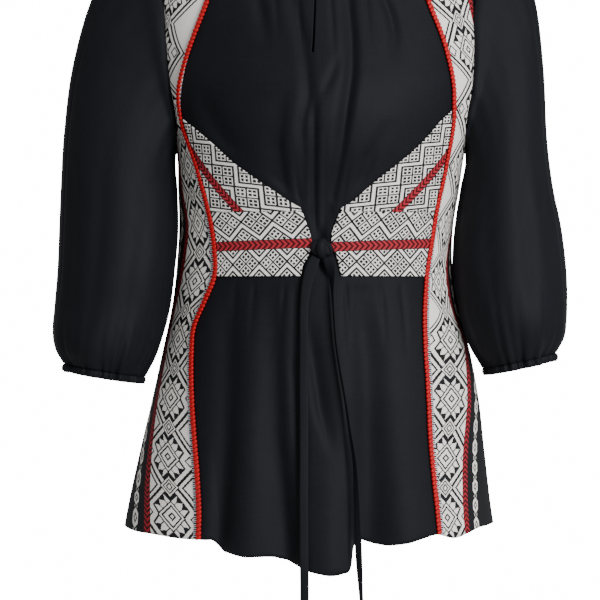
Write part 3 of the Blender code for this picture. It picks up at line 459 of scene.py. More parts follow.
def fold_depth(theta, x, z):
    """How far in the folds push the cloth at a place, in metres."""
    front = np.cos(theta) > 0
    deep = np.zeros(np.shape(x))
    for row in FRONT_FOLDS + FINE_FOLDS:
        deep = deep + trough(x, z, row)
    seam_left = curve(z, PRINCESS, 1)
    seam_right = curve(z, PRINCESS, 2)
    near = np.clip(np.minimum(x - seam_left, seam_right - x) / SEAM_FADE, 0, 1)
    deep = deep * near * bare(x, z) * front
    back_angle = np.degrees(np.arctan2(np.sin(theta), -np.cos(theta)))
    back = np.zeros(np.shape(x))
    for row in BACK_FOLDS + BACK_FINE:
        back = back + trough(back_angle, z, row)
    far = np.clip((90 - np.abs(back_angle)) / SIDE_FADE_DEGREES, 0, 1)
    return deep + back * far * (~front)


def cloth_points(theta, z):
    """Points of the folded torso, and the plain surface's normals."""
    points, normals = torso(theta, z)
    level = unit(normals * np.array([1.0, 1.0, 0.0]))
    return points - level * fold_depth(theta, points[..., 0], points[..., 2])[..., None], normals


# %% [markdown]
# ## From edges to a grid
#
# Each cut piece has four edges. A patch blends them into a grid of places, and `finer` adds more rows
# and columns on smooth curves, so that small creases have points to live on.

# %% Patches and finer grids
def grid_normals(points, like, closed=False):
    """Normals of a grid of points, on the same side as the given ones."""
    if closed:
        along = np.roll(points, -1, axis=1) - np.roll(points, 1, axis=1)
    else:
        along = np.gradient(points, axis=1)
    up = np.gradient(points, axis=0)
    n = unit(np.cross(along, up))
    sign = np.sign(np.sum(n * like, axis=-1, keepdims=True))
    return n * np.where(sign == 0, 1, sign)


def patch(left, right, low, high):
    """Angles and heights inside four edges. Each edge is a list of (angle, height)."""
    left, right, low, high = (np.array(e, float) for e in (left, right, low, high))
    v = (left[:, 1] - left[0, 1]) / (left[-1, 1] - left[0, 1])
    v = v[:, None, None]
    steps = np.concatenate([[0], np.cumsum(np.abs(np.diff(low[:, 0])))])
    u = (steps / steps[-1])[None, :, None]
    corners = (
        (1 - u) * (1 - v) * left[0]
        + u * (1 - v) * right[0]
        + (1 - u) * v * left[-1]
        + u * v * right[-1]
    )
    return (
        (1 - u) * left[:, None]
        + u * right[:, None]
        + (1 - v) * low[None]
        + v * high[None]
        - corners
    )


def finer(values, times, axis):
    """More steps along one axis, on smooth curves through the given values."""
    values = np.moveaxis(np.asarray(values, float), axis, 0)
    slope = np.gradient(values, axis=0)
    at = np.arange((len(values) - 1) * times + 1) / times
    i = np.minimum(at.astype(int), len(values) - 2)
    t = (at - i).reshape((-1,) + (1,) * (values.ndim - 1))
    found = smooth_between(t, values[i], slope[i], values[i + 1], slope[i + 1])
    return np.moveaxis(found, 0, axis)


# %% Edge lines of the pieces
def hem_height(theta):
    """Height of the hem at an angle round the body."""
    back = np.degrees(np.arctan2(np.sin(theta), -np.cos(theta)))
    z = np.full(np.shape(theta), -0.70)
    for _ in range(6):
        x = half_width(np.sin(theta), z) * np.sin(theta)
        ahead = np.interp(x, HEM_FRONT[:, 0], HEM_FRONT[:, 1])
        behind = np.interp(back, HEM_BACK[:, 0], HEM_BACK[:, 1])
        z = np.where(np.cos(theta) > 1e-9, ahead, behind)
    return z


def hem_edge(angles, first, last):
    """Lower edge of a piece, from the end of one seam to the end of the other."""
    low = [(a, float(z)) for a, z in zip(angles, hem_height(angles))]
    low[0] = first
    low[-1] = last
    return low


def princess_line(side):
    """(angle, height) up the princess seam on one side, a point a row."""
    column = 1 if side < 0 else 2
    z = -0.694
    for _ in range(8):
        x = curve(z, PRINCESS, column)
        z = float(np.interp(x, HEM_FRONT[:, 0], HEM_FRONT[:, 1]))
    heights = list(np.linspace(z, -0.285, ROWS_LOW + 1)) + list(UPPER_ROWS)
    return [(float(angle_at(curve(h, PRINCESS, column), h)), float(h)) for h in heights]


def side_line(side, back=False):
    """(angle, height) up the side seam and then the armhole."""
    z = float(hem_height(np.array(side * math.pi / 2)))
    line = [(side * math.pi / 2, float(h)) for h in np.linspace(z, ARMHOLE[0][0], ROWS_LOW + 1)]
    for height, degrees in ARMHOLE[1:]:
        angle = math.radians(180 - degrees if back else degrees)
        line.append((side * angle, height))
    top = float(angle_at(np.array(side * SHOULDER_X), -SHOULDER_DROP))
    line.append(((side * math.pi - top) if back else top, -SHOULDER_DROP))
    return line


def shoulder_point(x, back=False):
    z = -SLOPE * (abs(x) - NECK_HALF)
    angle = float(angle_at(np.array(x), z))
    if back:
        angle = math.copysign(math.pi, x) - angle
    return angle, z


def neck_point(turn, drop, back=False):
    """A point of the neckline. Turn runs from -90 degrees at the left to 90 at the right."""
    x = NECK_HALF * math.sin(turn)
    z = -drop * math.cos(turn)
    angle = float(angle_at(np.array(x), z))
    if back:
        angle = math.copysign(math.pi, x if x else 1.0) - angle
    return angle, z


def inset_sides(line, side, amount):
    """Moves a seam line's angles by a distance along the cloth."""
    moved = []
    for angle, z in line:
        span = float(half_width(math.sin(angle), z))
        moved.append((angle + side * amount / span, z))
    return moved


def shift_top(points, amount):
    """Moves the shoulder seam's points off the ridge line, to the front or the back."""
    ridge = np.abs(points[-1, :, 2] + SLOPE * (np.abs(points[-1, :, 0]) - NECK_HALF)) < 1e-6
    points[-1, ridge, 1] += amount
    return points

# %% [markdown]
# ## Cloth as a thin closed wall
#
# A cloth piece gets an outer and an inner face with a rim between them, a millimetre apart. It also
# gets a map that lays the cloth flat in metres, which the weave follows, as thread does in real cloth.

# %% Thin cloth walls
def add_piece(name, vertices, faces, finish, slot, *nodes):
    """Makes a smooth-shaded piece from its points and faces, hangs it from the root and hides the
    imported parts that it stands for.
    """
    mesh = bpy.data.meshes.new(name)
    mesh.from_pydata(vertices.tolist(), [], faces)
    mesh.polygons.foreach_set("use_smooth", [True] * len(mesh.polygons))
    mesh.materials.append(finish)
    mesh.update()
    piece = bpy.data.objects.new(name, mesh)
    bpy.context.collection.objects.link(piece)
    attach(piece, "root")
    if nodes:
        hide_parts(*nodes)
    return piece


def add_map(piece, name, flat):
    """Lays a map of places, one for each point, on a piece's faces."""
    mesh = piece.data
    corner = np.empty(len(mesh.loops), int)
    mesh.loops.foreach_get("vertex_index", corner)
    layer = mesh.uv_layers.new(name=name)
    layer.data.foreach_set("uv", np.asarray(flat, np.float32)[corner].ravel())


def cloth_wall(name, points, normals, finish, slot, nodes, maps, closed=False, skip=None, thick=CLOTH):
    """A thin closed wall about a grid of points, with its flat maps."""
    rows, columns = points.shape[:2]
    total = rows * columns
    both = np.concatenate([
        (points + normals * thick / 2).reshape(-1, 3),
        (points - normals * thick / 2).reshape(-1, 3),
    ])
    index = np.arange(total).reshape(rows, columns)
    if closed:
        index = np.concatenate([index, index[:, :1]], axis=1)
    quads = np.stack([index[:-1, :-1], index[:-1, 1:], index[1:, 1:], index[1:, :-1]], axis=-1)
    quads = quads[~skip] if skip is not None else quads.reshape(-1, 4)
    middle = quads[len(quads) // 2]
    a, b, c, d = both[middle]
    if np.dot(np.cross(c - a, d - b), normals.reshape(-1, 3)[middle[0]]) < 0:
        quads = quads[:, ::-1]
    start = quads.ravel()
    end = np.roll(quads, -1, axis=1).ravel()
    rim = ~np.isin(start * total + end, end * total + start)
    start = start[rim]
    end = end[rim]
    edge = np.stack([end, start, total + start, total + end], axis=1)
    faces = np.concatenate([quads, total + quads[:, ::-1], edge])
    used = np.unique(faces)
    place = np.zeros(2 * total, int)
    place[used] = np.arange(len(used))
    piece = add_piece(name, both[used], place[faces].tolist(), finish, slot, *nodes)
    for title, flat in maps.items():
        flat = np.asarray(flat).reshape(total, 2)
        add_map(piece, title, np.concatenate([flat, flat])[used])
    return piece


def steps_along(points, axis):
    """Distance along the cloth from the first row or column, at each point."""
    lengths = np.linalg.norm(np.diff(points, axis=axis), axis=-1)
    start = np.zeros_like(np.take(lengths, [0], axis))
    return np.concatenate([start, np.cumsum(lengths, axis=axis)], axis=axis)


def closed_tube(rings):
    """Points and faces of a closed tube, from its rings of points."""
    rows, sides = rings.shape[:2]
    points = rings.reshape(-1, 3)
    index = np.arange(rows * sides).reshape(rows, sides)
    after = np.roll(index, -1, axis=1)
    quads = np.stack([index[:-1], after[:-1], after[1:], index[1:]], axis=-1).reshape(-1, 4)
    faces = quads.tolist() + [index[0, ::-1].tolist(), index[-1].tolist()]
    a, b, c, d = points[quads[0]]
    if np.dot(np.cross(c - a, d - b), a - rings[0].mean(axis=0)) < 0:
        faces = [face[::-1] for face in faces]
    return points, faces


def thread_map(points):
    """A flat map in metres, from the lengths of the cloth's rows and columns."""
    across = steps_along(points, 1)
    middle = points.shape[1] // 2
    return np.stack([across - across[:, middle:middle + 1], steps_along(points, 0)], axis=-1)


def as_sheet(piece, points):
    """Prints the flat size and area that a piece of cloth was cut to."""
    width = round(float(steps_along(points, 1)[:, -1].max()), 3)
    length = round(float(steps_along(points, 0)[-1].max()), 3)
    a = points[1:, 1:] - points[:-1, :-1]
    b = points[:-1, 1:] - points[1:, :-1]
    area = float(np.linalg.norm(np.cross(a, b), axis=-1).sum() / 2)
    area = round(min(area, width * length), 4)
    print(piece.name, "flat", width, "x", length, "m,", area, "m2")


# %% [markdown]
# ## Finishes
#
# A finish starts from what the cloth is. Colours are picked as the eye sees them, in sRGB hex, and
# turned to the linear values that light is worked out with.

# %% Colour and node helpers
def colour(hex_value):
    """Linear colour of an sRGB hex value."""
    parts = [int(hex_value[k:k + 2], 16) / 255 for k in (1, 3, 5)]
    return [p / 12.92 if p <= 0.04045 else ((p + 0.055) / 1.055) ** 2.4 for p in parts] + [1.0]


def add_node(tree, kind, inputs=None, **settings):
    """Adds a node, gives it its settings, and fills or links its inputs."""
    node = tree.nodes.new(kind)
    for key, value in settings.items():
        setattr(node, key, value)
    for key, value in (inputs or {}).items():
        if isinstance(value, bpy.types.NodeSocket):
            tree.links.new(value, node.inputs[key])
        else:
            node.inputs[key].default_value = value
    return node


def work_out(tree, known, rows):
    """Adds a Math node for each row: its name, its operation, then numbers or earlier names."""
    for name, operation, *values in rows:
        inputs = {k: known[v] if isinstance(v, str) else v for k, v in enumerate(values)}
        known[name] = add_node(tree, "ShaderNodeMath", inputs, operation=operation).outputs[0]
    return known


def mixed(tree, share, first, second):
    """Colour between two others, by a share from 0 to 1."""
    parts = {0: share, 6: first, 7: second}
    return add_node(tree, "ShaderNodeMix", parts, data_type="RGBA").outputs[2]


def new_finish(name):
    finish = bpy.data.materials.new(name)
    finish.use_nodes = True
    return finish, finish.node_tree, finish.node_tree.nodes["Principled BSDF"]


def give_surface(tree, shader, base, relief, constants):
    """Links a finish's colour and its fine relief, and sets the shader's own values."""
    bump = add_node(tree, "ShaderNodeBump", relief)
    tree.links.new(base, shader.inputs["Base Color"])
    tree.links.new(bump.outputs[0], shader.inputs["Normal"])
    for name, value in constants.items():
        shader.inputs[name].default_value = value


# %% [markdown]
# ## Light black cloth
#
# A fine viscose-like plain weave: black with a faint blue cast, soft, with thin slubs where the yarn is
# thicker. Its threads are about 0.35 mm apart, too fine to show, so they are drawn 1.4 mm apart.

# %% Black cloth
def black_cloth(name, flat_map=True):
    """Plain weave with slubs down and across, laid on the flat map or, when rolled, on the piece."""
    finish, tree, shader = new_finish(name)
    if flat_map:
        where = add_node(tree, "ShaderNodeUVMap", uv_map="cloth").outputs["UV"]
    else:
        where = add_node(tree, "ShaderNodeTexCoord").outputs["Object"]
    known = {}
    for way, scale in (("down", (700.0, 45.0, 700.0)), ("over", (35.0, 700.0, 35.0))):
        slub = add_node(tree, "ShaderNodeMapping", {"Vector": where, "Scale": scale}).outputs[0]
        noise = {"Vector": slub, "Scale": 1.0, "Detail": 2.0, "Roughness": 0.6}
        known[way] = add_node(tree, "ShaderNodeTexNoise", noise).outputs["Fac"]
    broad = {"Vector": where, "Scale": 26.0, "Detail": 3.0}
    known["broad"] = add_node(tree, "ShaderNodeTexNoise", broad).outputs["Fac"]
    work_out(tree, known, (
        ("threads", "ADD", "down", "over"),
        ("even", "MULTIPLY", "threads", 0.5),
        ("lift", "MULTIPLY_ADD", "broad", 0.35, "even"),
        ("shade", "SUBTRACT", "lift", 0.18),
    ))
    cloth = mixed(tree, known["shade"], colour("#0a0b0e"), colour("#17181d"))
    relief = {"Height": known["even"], "Strength": 0.35, "Distance": 0.0006}
    give_surface(tree, shader, cloth, relief, {
        "Roughness": 0.62,
        "Specular IOR Level": 0.07,
        "Sheen Weight": 0.02,
        "Sheen Roughness": 0.45,
        "Sheen Tint": colour("#b9bccb"),
    })
    return finish


BLACK = black_cloth("black viscose plain weave")
BLACK_ROLLED = black_cloth("black viscose, rolled and knotted", flat_map=False)
print("finishes:", BLACK.name, "and", BLACK_ROLLED.name)

# %% [markdown]
# ## The ties: two free cords
#
# A tie is a narrow turned tube of the same cloth, pressed flat, about 9 mm wide. Both leave the knot
# and hang by their own weight to bare ends. A strip of rings along the hanging line gives the flat
# shape, with round edges where the cloth turns.

# %% Lines of the ties
# Ties: x, height, turn of the strip in degrees, distance in front of the cloth, width
TIE_LEFT = (
    (-0.0040, -0.4033, 0.0, 0.0072, 0.0095),
    (-0.0080, -0.4130, 0.0, 0.0072, 0.0125),
    (-0.0115, -0.4250, 0.0, 0.0062, 0.0120),
    (-0.0145, -0.4400, 0.0, 0.0055, 0.0100),
    (-0.0162, -0.4620, 0.0, 0.0048, 0.0090),
    (-0.0163, -0.4900, 3.0, 0.0045, 0.0090),
    (-0.0165, -0.5300, 0.0, 0.0045, 0.0090),
    (-0.0163, -0.5700, 0.0, 0.0045, 0.0090),
    (-0.0163, -0.6100, -4.0, 0.0045, 0.0090),
    (-0.0166, -0.6500, 0.0, 0.0045, 0.0090),
    (-0.0164, -0.6900, 0.0, 0.0045, 0.0090),
    (-0.0162, -0.7200, 0.0, 0.0050, 0.0090),
    (-0.0160, -0.7350, 5.0, 0.0050, 0.0090),
    (-0.0160, -0.7600, 8.0, 0.0050, 0.0090),
    (-0.0162, -0.7900, 4.0, 0.0050, 0.0090),
    (-0.0165, -0.8100, 0.0, 0.0050, 0.0090),
)
TIE_RIGHT = (
    (0.0075, -0.4033, 0.0, 0.0072, 0.0090),
    (0.0105, -0.4130, 25.0, 0.0080, 0.0115),
    (0.0125, -0.4250, 55.0, 0.0080, 0.0110),
    (0.0130, -0.4400, 74.0, 0.0080, 0.0095),
    (0.0142, -0.4620, 80.0, 0.0080, 0.0090),
    (0.0162, -0.4900, 80.0, 0.0080, 0.0090),
    (0.0205, -0.5200, 78.0, 0.0080, 0.0090),
    (0.0258, -0.5500, 78.0, 0.0090, 0.0090),
    (0.0310, -0.5850, 74.0, 0.0110, 0.0090),
    (0.0354, -0.6150, 66.0, 0.0140, 0.0090),
    (0.0372, -0.6500, 50.0, 0.0190, 0.0090),
    (0.0384, -0.6900, 40.0, 0.0250, 0.0090),
    (0.0395, -0.7150, 45.0, 0.0270, 0.0090),
    (0.0410, -0.7400, 62.0, 0.0270, 0.0090),
    (0.0425, -0.7650, 72.0, 0.0270, 0.0090),
    (0.0430, -0.7900, 75.0, 0.0270, 0.0090),
)
TIE_THICK = 0.0015
TIE_HALF_WIDTH = 0.0045


def front_y(x, z):
    """How far forward the folded front stands at a place."""
    height = max(z, -0.715)
    angle = angle_at(np.array(x), height)
    points, _ = cloth_points(np.array([angle]), np.array([height]))
    return float(points[0, 1])


def tie_line(table):
    """Places down a tie, in front of the skirt, and the table's turns and widths."""
    rows = np.array(table)
    places = np.array([
        (x, min(front_y(x + dx, z) for dx in (-0.004, 0.0, 0.004)) - lift, z)
        for x, z, _, lift, _ in rows
    ])
    ahead = places[:, 1].copy()
    mean = (ahead[:-2] + 2 * ahead[1:-1] + ahead[2:]) / 4
    places[1:-1, 1] = np.minimum(ahead[1:-1], mean)
    return finer(places, 5, 0), finer(rows[:, [2, 4]], 5, 0)


# %% Hanging ties
def make_tie(suffix, table):
    """A pressed strip of doubled cloth down its hanging line."""
    places, shape = tie_line(table)
    down = unit(np.gradient(places, axis=0))
    turn = np.radians(shape[:, 0])
    level = np.stack([np.cos(turn), -np.sin(turn), np.zeros_like(turn)], axis=-1)
    across = unit(level - down * np.sum(level * down, axis=-1, keepdims=True))
    face = np.cross(down, across)
    around = np.linspace(0, 2 * math.pi, 14, endpoint=False)
    wide = np.sign(np.cos(around)) * np.abs(np.cos(around)) ** 0.5
    thick = np.sign(np.sin(around)) * np.abs(np.sin(around)) ** 0.8
    rings = (
        places[:, None]
        + across[:, None] * (shape[:, 1] / 2)[:, None, None] * wide[None, :, None]
        + face[:, None] * TIE_THICK / 2 * thick[None, :, None]
    )
    points, faces = closed_tube(rings)
    tie = add_piece("tie_" + suffix, points, faces, BLACK, "black_cloth", "tie_tail_" + suffix)
    along = steps_along(places[:, None], 0)[:, 0]
    girth = (wide * TIE_HALF_WIDTH)[None, :] + np.zeros((len(places), 1))
    add_map(tie, "cloth", np.stack([girth, along[:, None] + 0 * girth], axis=-1).reshape(-1, 2))


make_tie("left", TIE_LEFT)
make_tie("right", TIE_RIGHT)

# %% [markdown]
# ## The figured weave of the side panels
#
# The side panels are cut lengthways from a woven border: large stars in bands, small diamonds between
# them, and a red chevron stripe down the edge. It is a common woven repeat, drawn here as a chart in
# millimetres: `u` runs across the band from the stars' middle, `v` down it, and both are folded at the
# repeat so that one quarter of a star is enough. Weaves move in steps of a thread, here 0.6 mm.

# %% Chart of the star border
STAR_CHART = (
    ("u step", "SNAP", "u", 0.6),
    ("v step", "SNAP", "v", 0.6),
    ("fu", "ABSOLUTE", "u step"),
    ("fv", "PINGPONG", "v step", 31.25),
    ("reach", "MULTIPLY", "fu", 1.14),
    ("star", "ADD", "reach", "fv"),
    ("in star", "LESS_THAN", "star", 14.9),
    ("eye ring", "COMPARE", "star", 3.6, 1.25),
    ("rim ring", "COMPARE", "star", 11.1, 1.25),
    ("rings", "MAXIMUM", "eye ring", "rim ring"),
    ("star white", "SUBTRACT", "in star", "rings"),
    ("star zone", "LESS_THAN", "star", 17.0),
    ("slope", "MULTIPLY_ADD", "fv", 0.847, "fu"),
    ("field 1", "LESS_THAN", "slope", 27.2),
    ("limit", "MULTIPLY_ADD", "fv", 0.667, 13.8),
    ("field 2", "LESS_THAN", "fu", "limit"),
    ("field", "MULTIPLY", "field 1", "field 2"),
    ("lean", "SUBTRACT", "fu", "fv"),
    ("lean on", "ADD", "lean", 15.0),
    ("saw", "PINGPONG", "lean on", 5.65),
    ("petal end", "MULTIPLY_ADD", "saw", -1.25, 25.4),
    ("petal 1", "LESS_THAN", "slope", "petal end"),
    ("petal 2", "GREATER_THAN", "lean", -15.2),
    ("petal edge", "SUBTRACT", "limit", 2.5),
    ("petal 3", "LESS_THAN", "fu", "petal edge"),
    ("petal 4", "LESS_THAN", "saw", 4.85),
    ("petal 5", "GREATER_THAN", "fv", 0.9),
    ("petal 12", "MULTIPLY", "petal 1", "petal 2"),
    ("petal 34", "MULTIPLY", "petal 3", "petal 4"),
    ("petal 14", "MULTIPLY", "petal 12", "petal 34"),
    ("petal", "MULTIPLY", "petal 14", "petal 5"),
    ("thick line", "COMPARE", "slope", 33.65, 1.75),
    ("thin line", "COMPARE", "slope", 40.1, 1.2),
    ("hook off", "SUBTRACT", "fu", 25.0),
    ("hook far", "ABSOLUTE", "hook off"),
    ("hook sum", "MULTIPLY_ADD", "hook far", 1.14, "fv"),
    ("hook", "COMPARE", "hook sum", 5.7, 1.05),
    ("lines", "MAXIMUM", "thick line", "thin line"),
    ("marks", "MAXIMUM", "lines", "hook"),
    ("lattice", "SUBTRACT", 1.0, "marks"),
    ("off field", "SUBTRACT", 1.0, "field"),
    ("petals", "MULTIPLY", "field", "petal"),
    ("ground", "MULTIPLY_ADD", "off field", "lattice", "petals"),
    ("off star", "SUBTRACT", 1.0, "star zone"),
    ("star part", "MULTIPLY", "star zone", "star white"),
    ("band", "MULTIPLY_ADD", "off star", "ground", "star part"),
    ("down left", "SUBTRACT", 31.25, "fv"),
    ("small", "MULTIPLY_ADD", "fu", 1.12, "down left"),
    ("small in", "LESS_THAN", "small", 10.3),
    ("small eye", "COMPARE", "small", 3.5, 1.0),
    ("small rim", "COMPARE", "small", 7.2, 1.0),
    ("small rings", "MAXIMUM", "small eye", "small rim"),
    ("small white", "SUBTRACT", "small in", "small rings"),
    ("small zone", "LESS_THAN", "small", 11.7),
    ("off small", "SUBTRACT", 1.0, "small zone"),
    ("small part", "MULTIPLY", "small zone", "small white"),
    ("figure", "MULTIPLY_ADD", "off small", "band", "small part"),
    ("in band", "LESS_THAN", "u step", 23.0),
    ("figured", "MULTIPLY", "figure", "in band"),
    ("chain off", "SUBTRACT", "u step", 43.7),
    ("chain far", "ABSOLUTE", "chain off"),
    ("chain v", "PINGPONG", "v step", 10.42),
    ("chain out", "MULTIPLY_ADD", "chain v", 0.35, 2.3),
    ("chain edge", "MINIMUM", "chain out", 4.3),
    ("in chain", "LESS_THAN", "chain far", "chain edge"),
    ("chain arm", "MULTIPLY", "chain v", 0.9),
    ("chain cross", "COMPARE", "chain far", "chain arm", 1.1),
    ("knot v", "SUBTRACT", 10.42, "chain v"),
    ("knot", "MULTIPLY_ADD", "knot v", 0.6, "chain far"),
    ("knot ring", "COMPARE", "knot", 2.3, 0.85),
    ("chain marks", "MAXIMUM", "chain cross", "knot ring"),
    ("chain plain", "SUBTRACT", 1.0, "chain marks"),
    ("chain white", "MULTIPLY", "in chain", "chain plain"),
    ("white all", "MAXIMUM", "figured", "chain white"),
    ("off seam", "GREATER_THAN", "from seam", 7.0),
    ("white", "MULTIPLY", "white all", "off seam"),
    ("stripe off", "SUBTRACT", "u", 27.0),
    ("stripe far", "ABSOLUTE", "stripe off"),
    ("in stripe", "LESS_THAN", "stripe far", 3.85),
    ("red", "MULTIPLY", "in stripe", "off seam"),
    ("chevron", "SUBTRACT", "v", "stripe far"),
    ("chevron part", "DIVIDE", "chevron", 5.2),
    ("chevron turn", "FRACT", "chevron part"),
    ("bright", "LESS_THAN", "chevron turn", 0.55),
)
print("steps in the star chart:", len(STAR_CHART))

# %% [markdown]
# ## The figured weave of the flaps
#
# The flaps are cut from the small all-over part of the same border: diamonds of four cells with four
# dots each, divided by white bands, and a chevron stripe. Red lies flat on the cloth, like a woven-in
# ribbon. The chart folds the cloth at half a repeat, 15 mm across and 22 mm up.

# %% Chart of the small diamonds
DIAMOND_CHART = (
    ("g step", "SNAP", "g", 0.7),
    ("h step", "SNAP", "h", 0.7),
    ("x", "PINGPONG", "g step", 15.0),
    ("y", "PINGPONG", "h step", 22.0),
    ("r", "ADD", "x", "y"),
    ("r back", "SUBTRACT", 37.0, "r"),
    ("a", "MINIMUM", "r", "r back"),
    ("second", "GREATER_THAN", "r", 18.5),
    ("b lean", "SUBTRACT", "y", "x"),
    ("b moved", "MULTIPLY_ADD", "second", -7.0, "b lean"),
    ("b", "ABSOLUTE", "b moved"),
    ("outline", "COMPARE", "a", 15.0, 1.45),
    ("in group", "LESS_THAN", "a", 15.0),
    ("cross", "LESS_THAN", "b", 1.25),
    ("dot a1", "COMPARE", "a", 4.6, 1.85),
    ("dot a2", "COMPARE", "a", 10.2, 1.85),
    ("dot a", "MAXIMUM", "dot a1", "dot a2"),
    ("dot b1", "COMPARE", "b", 4.6, 1.85),
    ("dot b2", "COMPARE", "b", 10.2, 1.85),
    ("dot b", "MAXIMUM", "dot b1", "dot b2"),
    ("dot", "MULTIPLY", "dot a", "dot b"),
    ("inner", "MAXIMUM", "cross", "dot"),
    ("group marks", "MULTIPLY", "in group", "inner"),
    ("marks", "MAXIMUM", "outline", "group marks"),
    ("figure", "SUBTRACT", 1.0, "marks"),
    ("stripe far", "ABSOLUTE", "t"),
    ("red", "LESS_THAN", "stripe far", 4.6),
    ("off edge", "GREATER_THAN", "stripe far", 5.2),
    ("white", "MULTIPLY", "figure", "off edge"),
    ("chevron", "ADD", "s", "stripe far"),
    ("chevron part", "DIVIDE", "chevron", 5.7),
    ("chevron turn", "FRACT", "chevron part"),
    ("bright", "LESS_THAN", "chevron turn", 0.52),
)
print("steps in the diamond chart:", len(DIAMOND_CHART))

# %% Woven finishes
def map_parts(tree, title, first, second):
    """The two parts of a flat map, in millimetres."""
    flat = add_node(tree, "ShaderNodeUVMap", uv_map=title).outputs["UV"]
    parts = add_node(tree, "ShaderNodeSeparateXYZ", {0: flat})
    rows = ((first, "MULTIPLY", "one", 1000.0), (second, "MULTIPLY", "two", 1000.0))
    return work_out(tree, {"one": parts.outputs[0], "two": parts.outputs[1]}, rows)


def figured_weave(name, chart, maps, white, bright, dark):
    """Cotton weave in black and white with a red chevron stripe, on a chart in millimetres."""
    finish, tree, shader = new_finish(name)
    known = {}
    for title, first, second in maps:
        known.update(map_parts(tree, title, first, second))
    across, down = maps[0][1:]
    if across == "u":
        seam = add_node(tree, "ShaderNodeAttribute", attribute_name="from_seam")
        known["from seam"] = seam.outputs["Fac"]
    where = add_node(tree, "ShaderNodeTexCoord").outputs["Object"]
    wear = add_node(tree, "ShaderNodeTexNoise", {"Vector": where, "Scale": 90.0, "Detail": 3.0})
    known["wear"] = wear.outputs["Fac"]
    work_out(tree, known, chart)
    work_out(tree, known, (
        ("thread turn", "MULTIPLY", down, 6.98),
        ("thread wave", "SINE", "thread turn"),
        ("cross turn", "MULTIPLY", across, 5.2),
        ("cross wave", "SINE", "cross turn"),
        ("waves", "ADD", "thread wave", "cross wave"),
        ("weave", "MULTIPLY_ADD", "waves", 0.25, 0.5),
        ("share", "MULTIPLY_ADD", "wear", 0.5, "weave"),
        ("tone", "MULTIPLY", "share", 0.6),
        ("raised", "MULTIPLY_ADD", "white", 0.6, "weave"),
    ))
    white_cloth = mixed(tree, known["tone"], colour(white[0]), colour(white[1]))
    dark_cloth = mixed(tree, known["tone"], colour("#0b0c0f"), colour("#17181c"))
    red_cloth = mixed(tree, known["bright"], colour(dark), colour(bright))
    base = mixed(tree, known["white"], dark_cloth, white_cloth)
    base = mixed(tree, known["red"], base, red_cloth)
    relief = {"Height": known["raised"], "Strength": 0.3, "Distance": 0.0004}
    give_surface(tree, shader, base, relief, {"Roughness": 0.8, "Specular IOR Level": 0.2})
    return finish


STARS = figured_weave(
    "cotton star border weave", STAR_CHART, (("border", "u", "v"),),
    ("#cfccc6", "#e6e4df"), "#8c1a24", "#24060c")
DIAMONDS = figured_weave(
    "cotton small diamond weave", DIAMOND_CHART, (("groups", "g", "h"), ("stripe", "s", "t")),
    ("#cdcac5", "#e4e2dd"), "#96212b", "#38040b")
print("finishes:", STARS.name, "and", DIAMONDS.name)

# %% [markdown]
# ## Centre front
#
# One piece of black cloth from shoulder to hem, drawn up at the neck and under the flaps, with a slit
# at the neck. The patch between the two princess seams carries all the troughs of the fold tables.

# %% Centre front piece
SEAM_DIP = 0.0006
SEAM_DIP_REACH = 0.0022


def seam_dip(points, plain):
    """Presses the cloth in a little along its seams, as stitching does."""
    across = steps_along(points, 1)
    dip = sum(np.exp(-((far / SEAM_DIP_REACH) ** 2)) for far in (across, across[:, -1:] - across))
    return points - plain * SEAM_DIP * dip[..., None]


def princess_top(side):
    return PRINCESS[-1, 1 if side < 0 else 2]


def front_edges():
    left = inset_sides(princess_line(-1), 1, SEAM_GAP / 2)
    right = inset_sides(princess_line(1), -1, SEAM_GAP / 2)
    n = FRONT_HALF_COLUMNS
    slit_angle = SLIT_X / 0.2
    low_angles = np.concatenate([
        np.linspace(left[0][0], slit_angle - 0.012, n + 1),
        np.linspace(slit_angle + 0.012, right[0][0], n + 1),
    ])
    low = hem_edge(low_angles, left[0], right[0])
    high = [shoulder_point(x) for x in np.linspace(princess_top(-1), -NECK_HALF, SHOULDER_BITS + 1)]
    turns = n - SHOULDER_BITS
    half = SLIT_WIDTH / 2 / NECK_HALF
    middle = SLIT_X / NECK_HALF
    first = np.linspace(-math.pi / 2, middle - half, turns + 1)[1:]
    second = np.linspace(middle + half, math.pi / 2, turns + 1)[:-1]
    high += [neck_point(t, NECK_FRONT_DROP) for t in first]
    high += [neck_point(t, NECK_FRONT_DROP) for t in second]
    high += [shoulder_point(x) for x in np.linspace(NECK_HALF, princess_top(1), SHOULDER_BITS + 1)]
    high[0] = (high[0][0] + SEAM_GAP / 2 / 0.19, high[0][1])
    high[-1] = (high[-1][0] - SEAM_GAP / 2 / 0.19, high[-1][1])
    left[-1] = high[0]
    right[-1] = high[-1]
    return left, right, low, high


def panel(name, coarse, times, finish, slot, nodes, ridge, skip_column=None, extra=None):
    """A body panel from its coarse grid: folded, dipped at its seams and given a thin wall."""
    grid = finer(finer(coarse, times[0], 0), times[1], 1)
    points, plain = cloth_points(grid[..., 0], grid[..., 1])
    normals = grid_normals(points, plain)
    for edge in ((slice(None), 0), (slice(None), -1), (-1,)):
        normals[edge] = plain[edge]
    points = seam_dip(points, plain)
    points = shift_top(points, ridge)
    skip = None
    if skip_column is not None:
        first = skip_column * times[1]
        skip = np.zeros((points.shape[0] - 1, points.shape[1] - 1), bool)
        skip[:, first:first + times[1]] = (grid[:-1, first:first + times[1], 1] > SLIT_END_Z)
    maps = {"cloth": thread_map(points)}
    if extra is not None:
        maps = extra(grid, points)
    piece = cloth_wall(name, points, normals, finish, slot, nodes, maps, skip=skip)
    return piece, points, normals


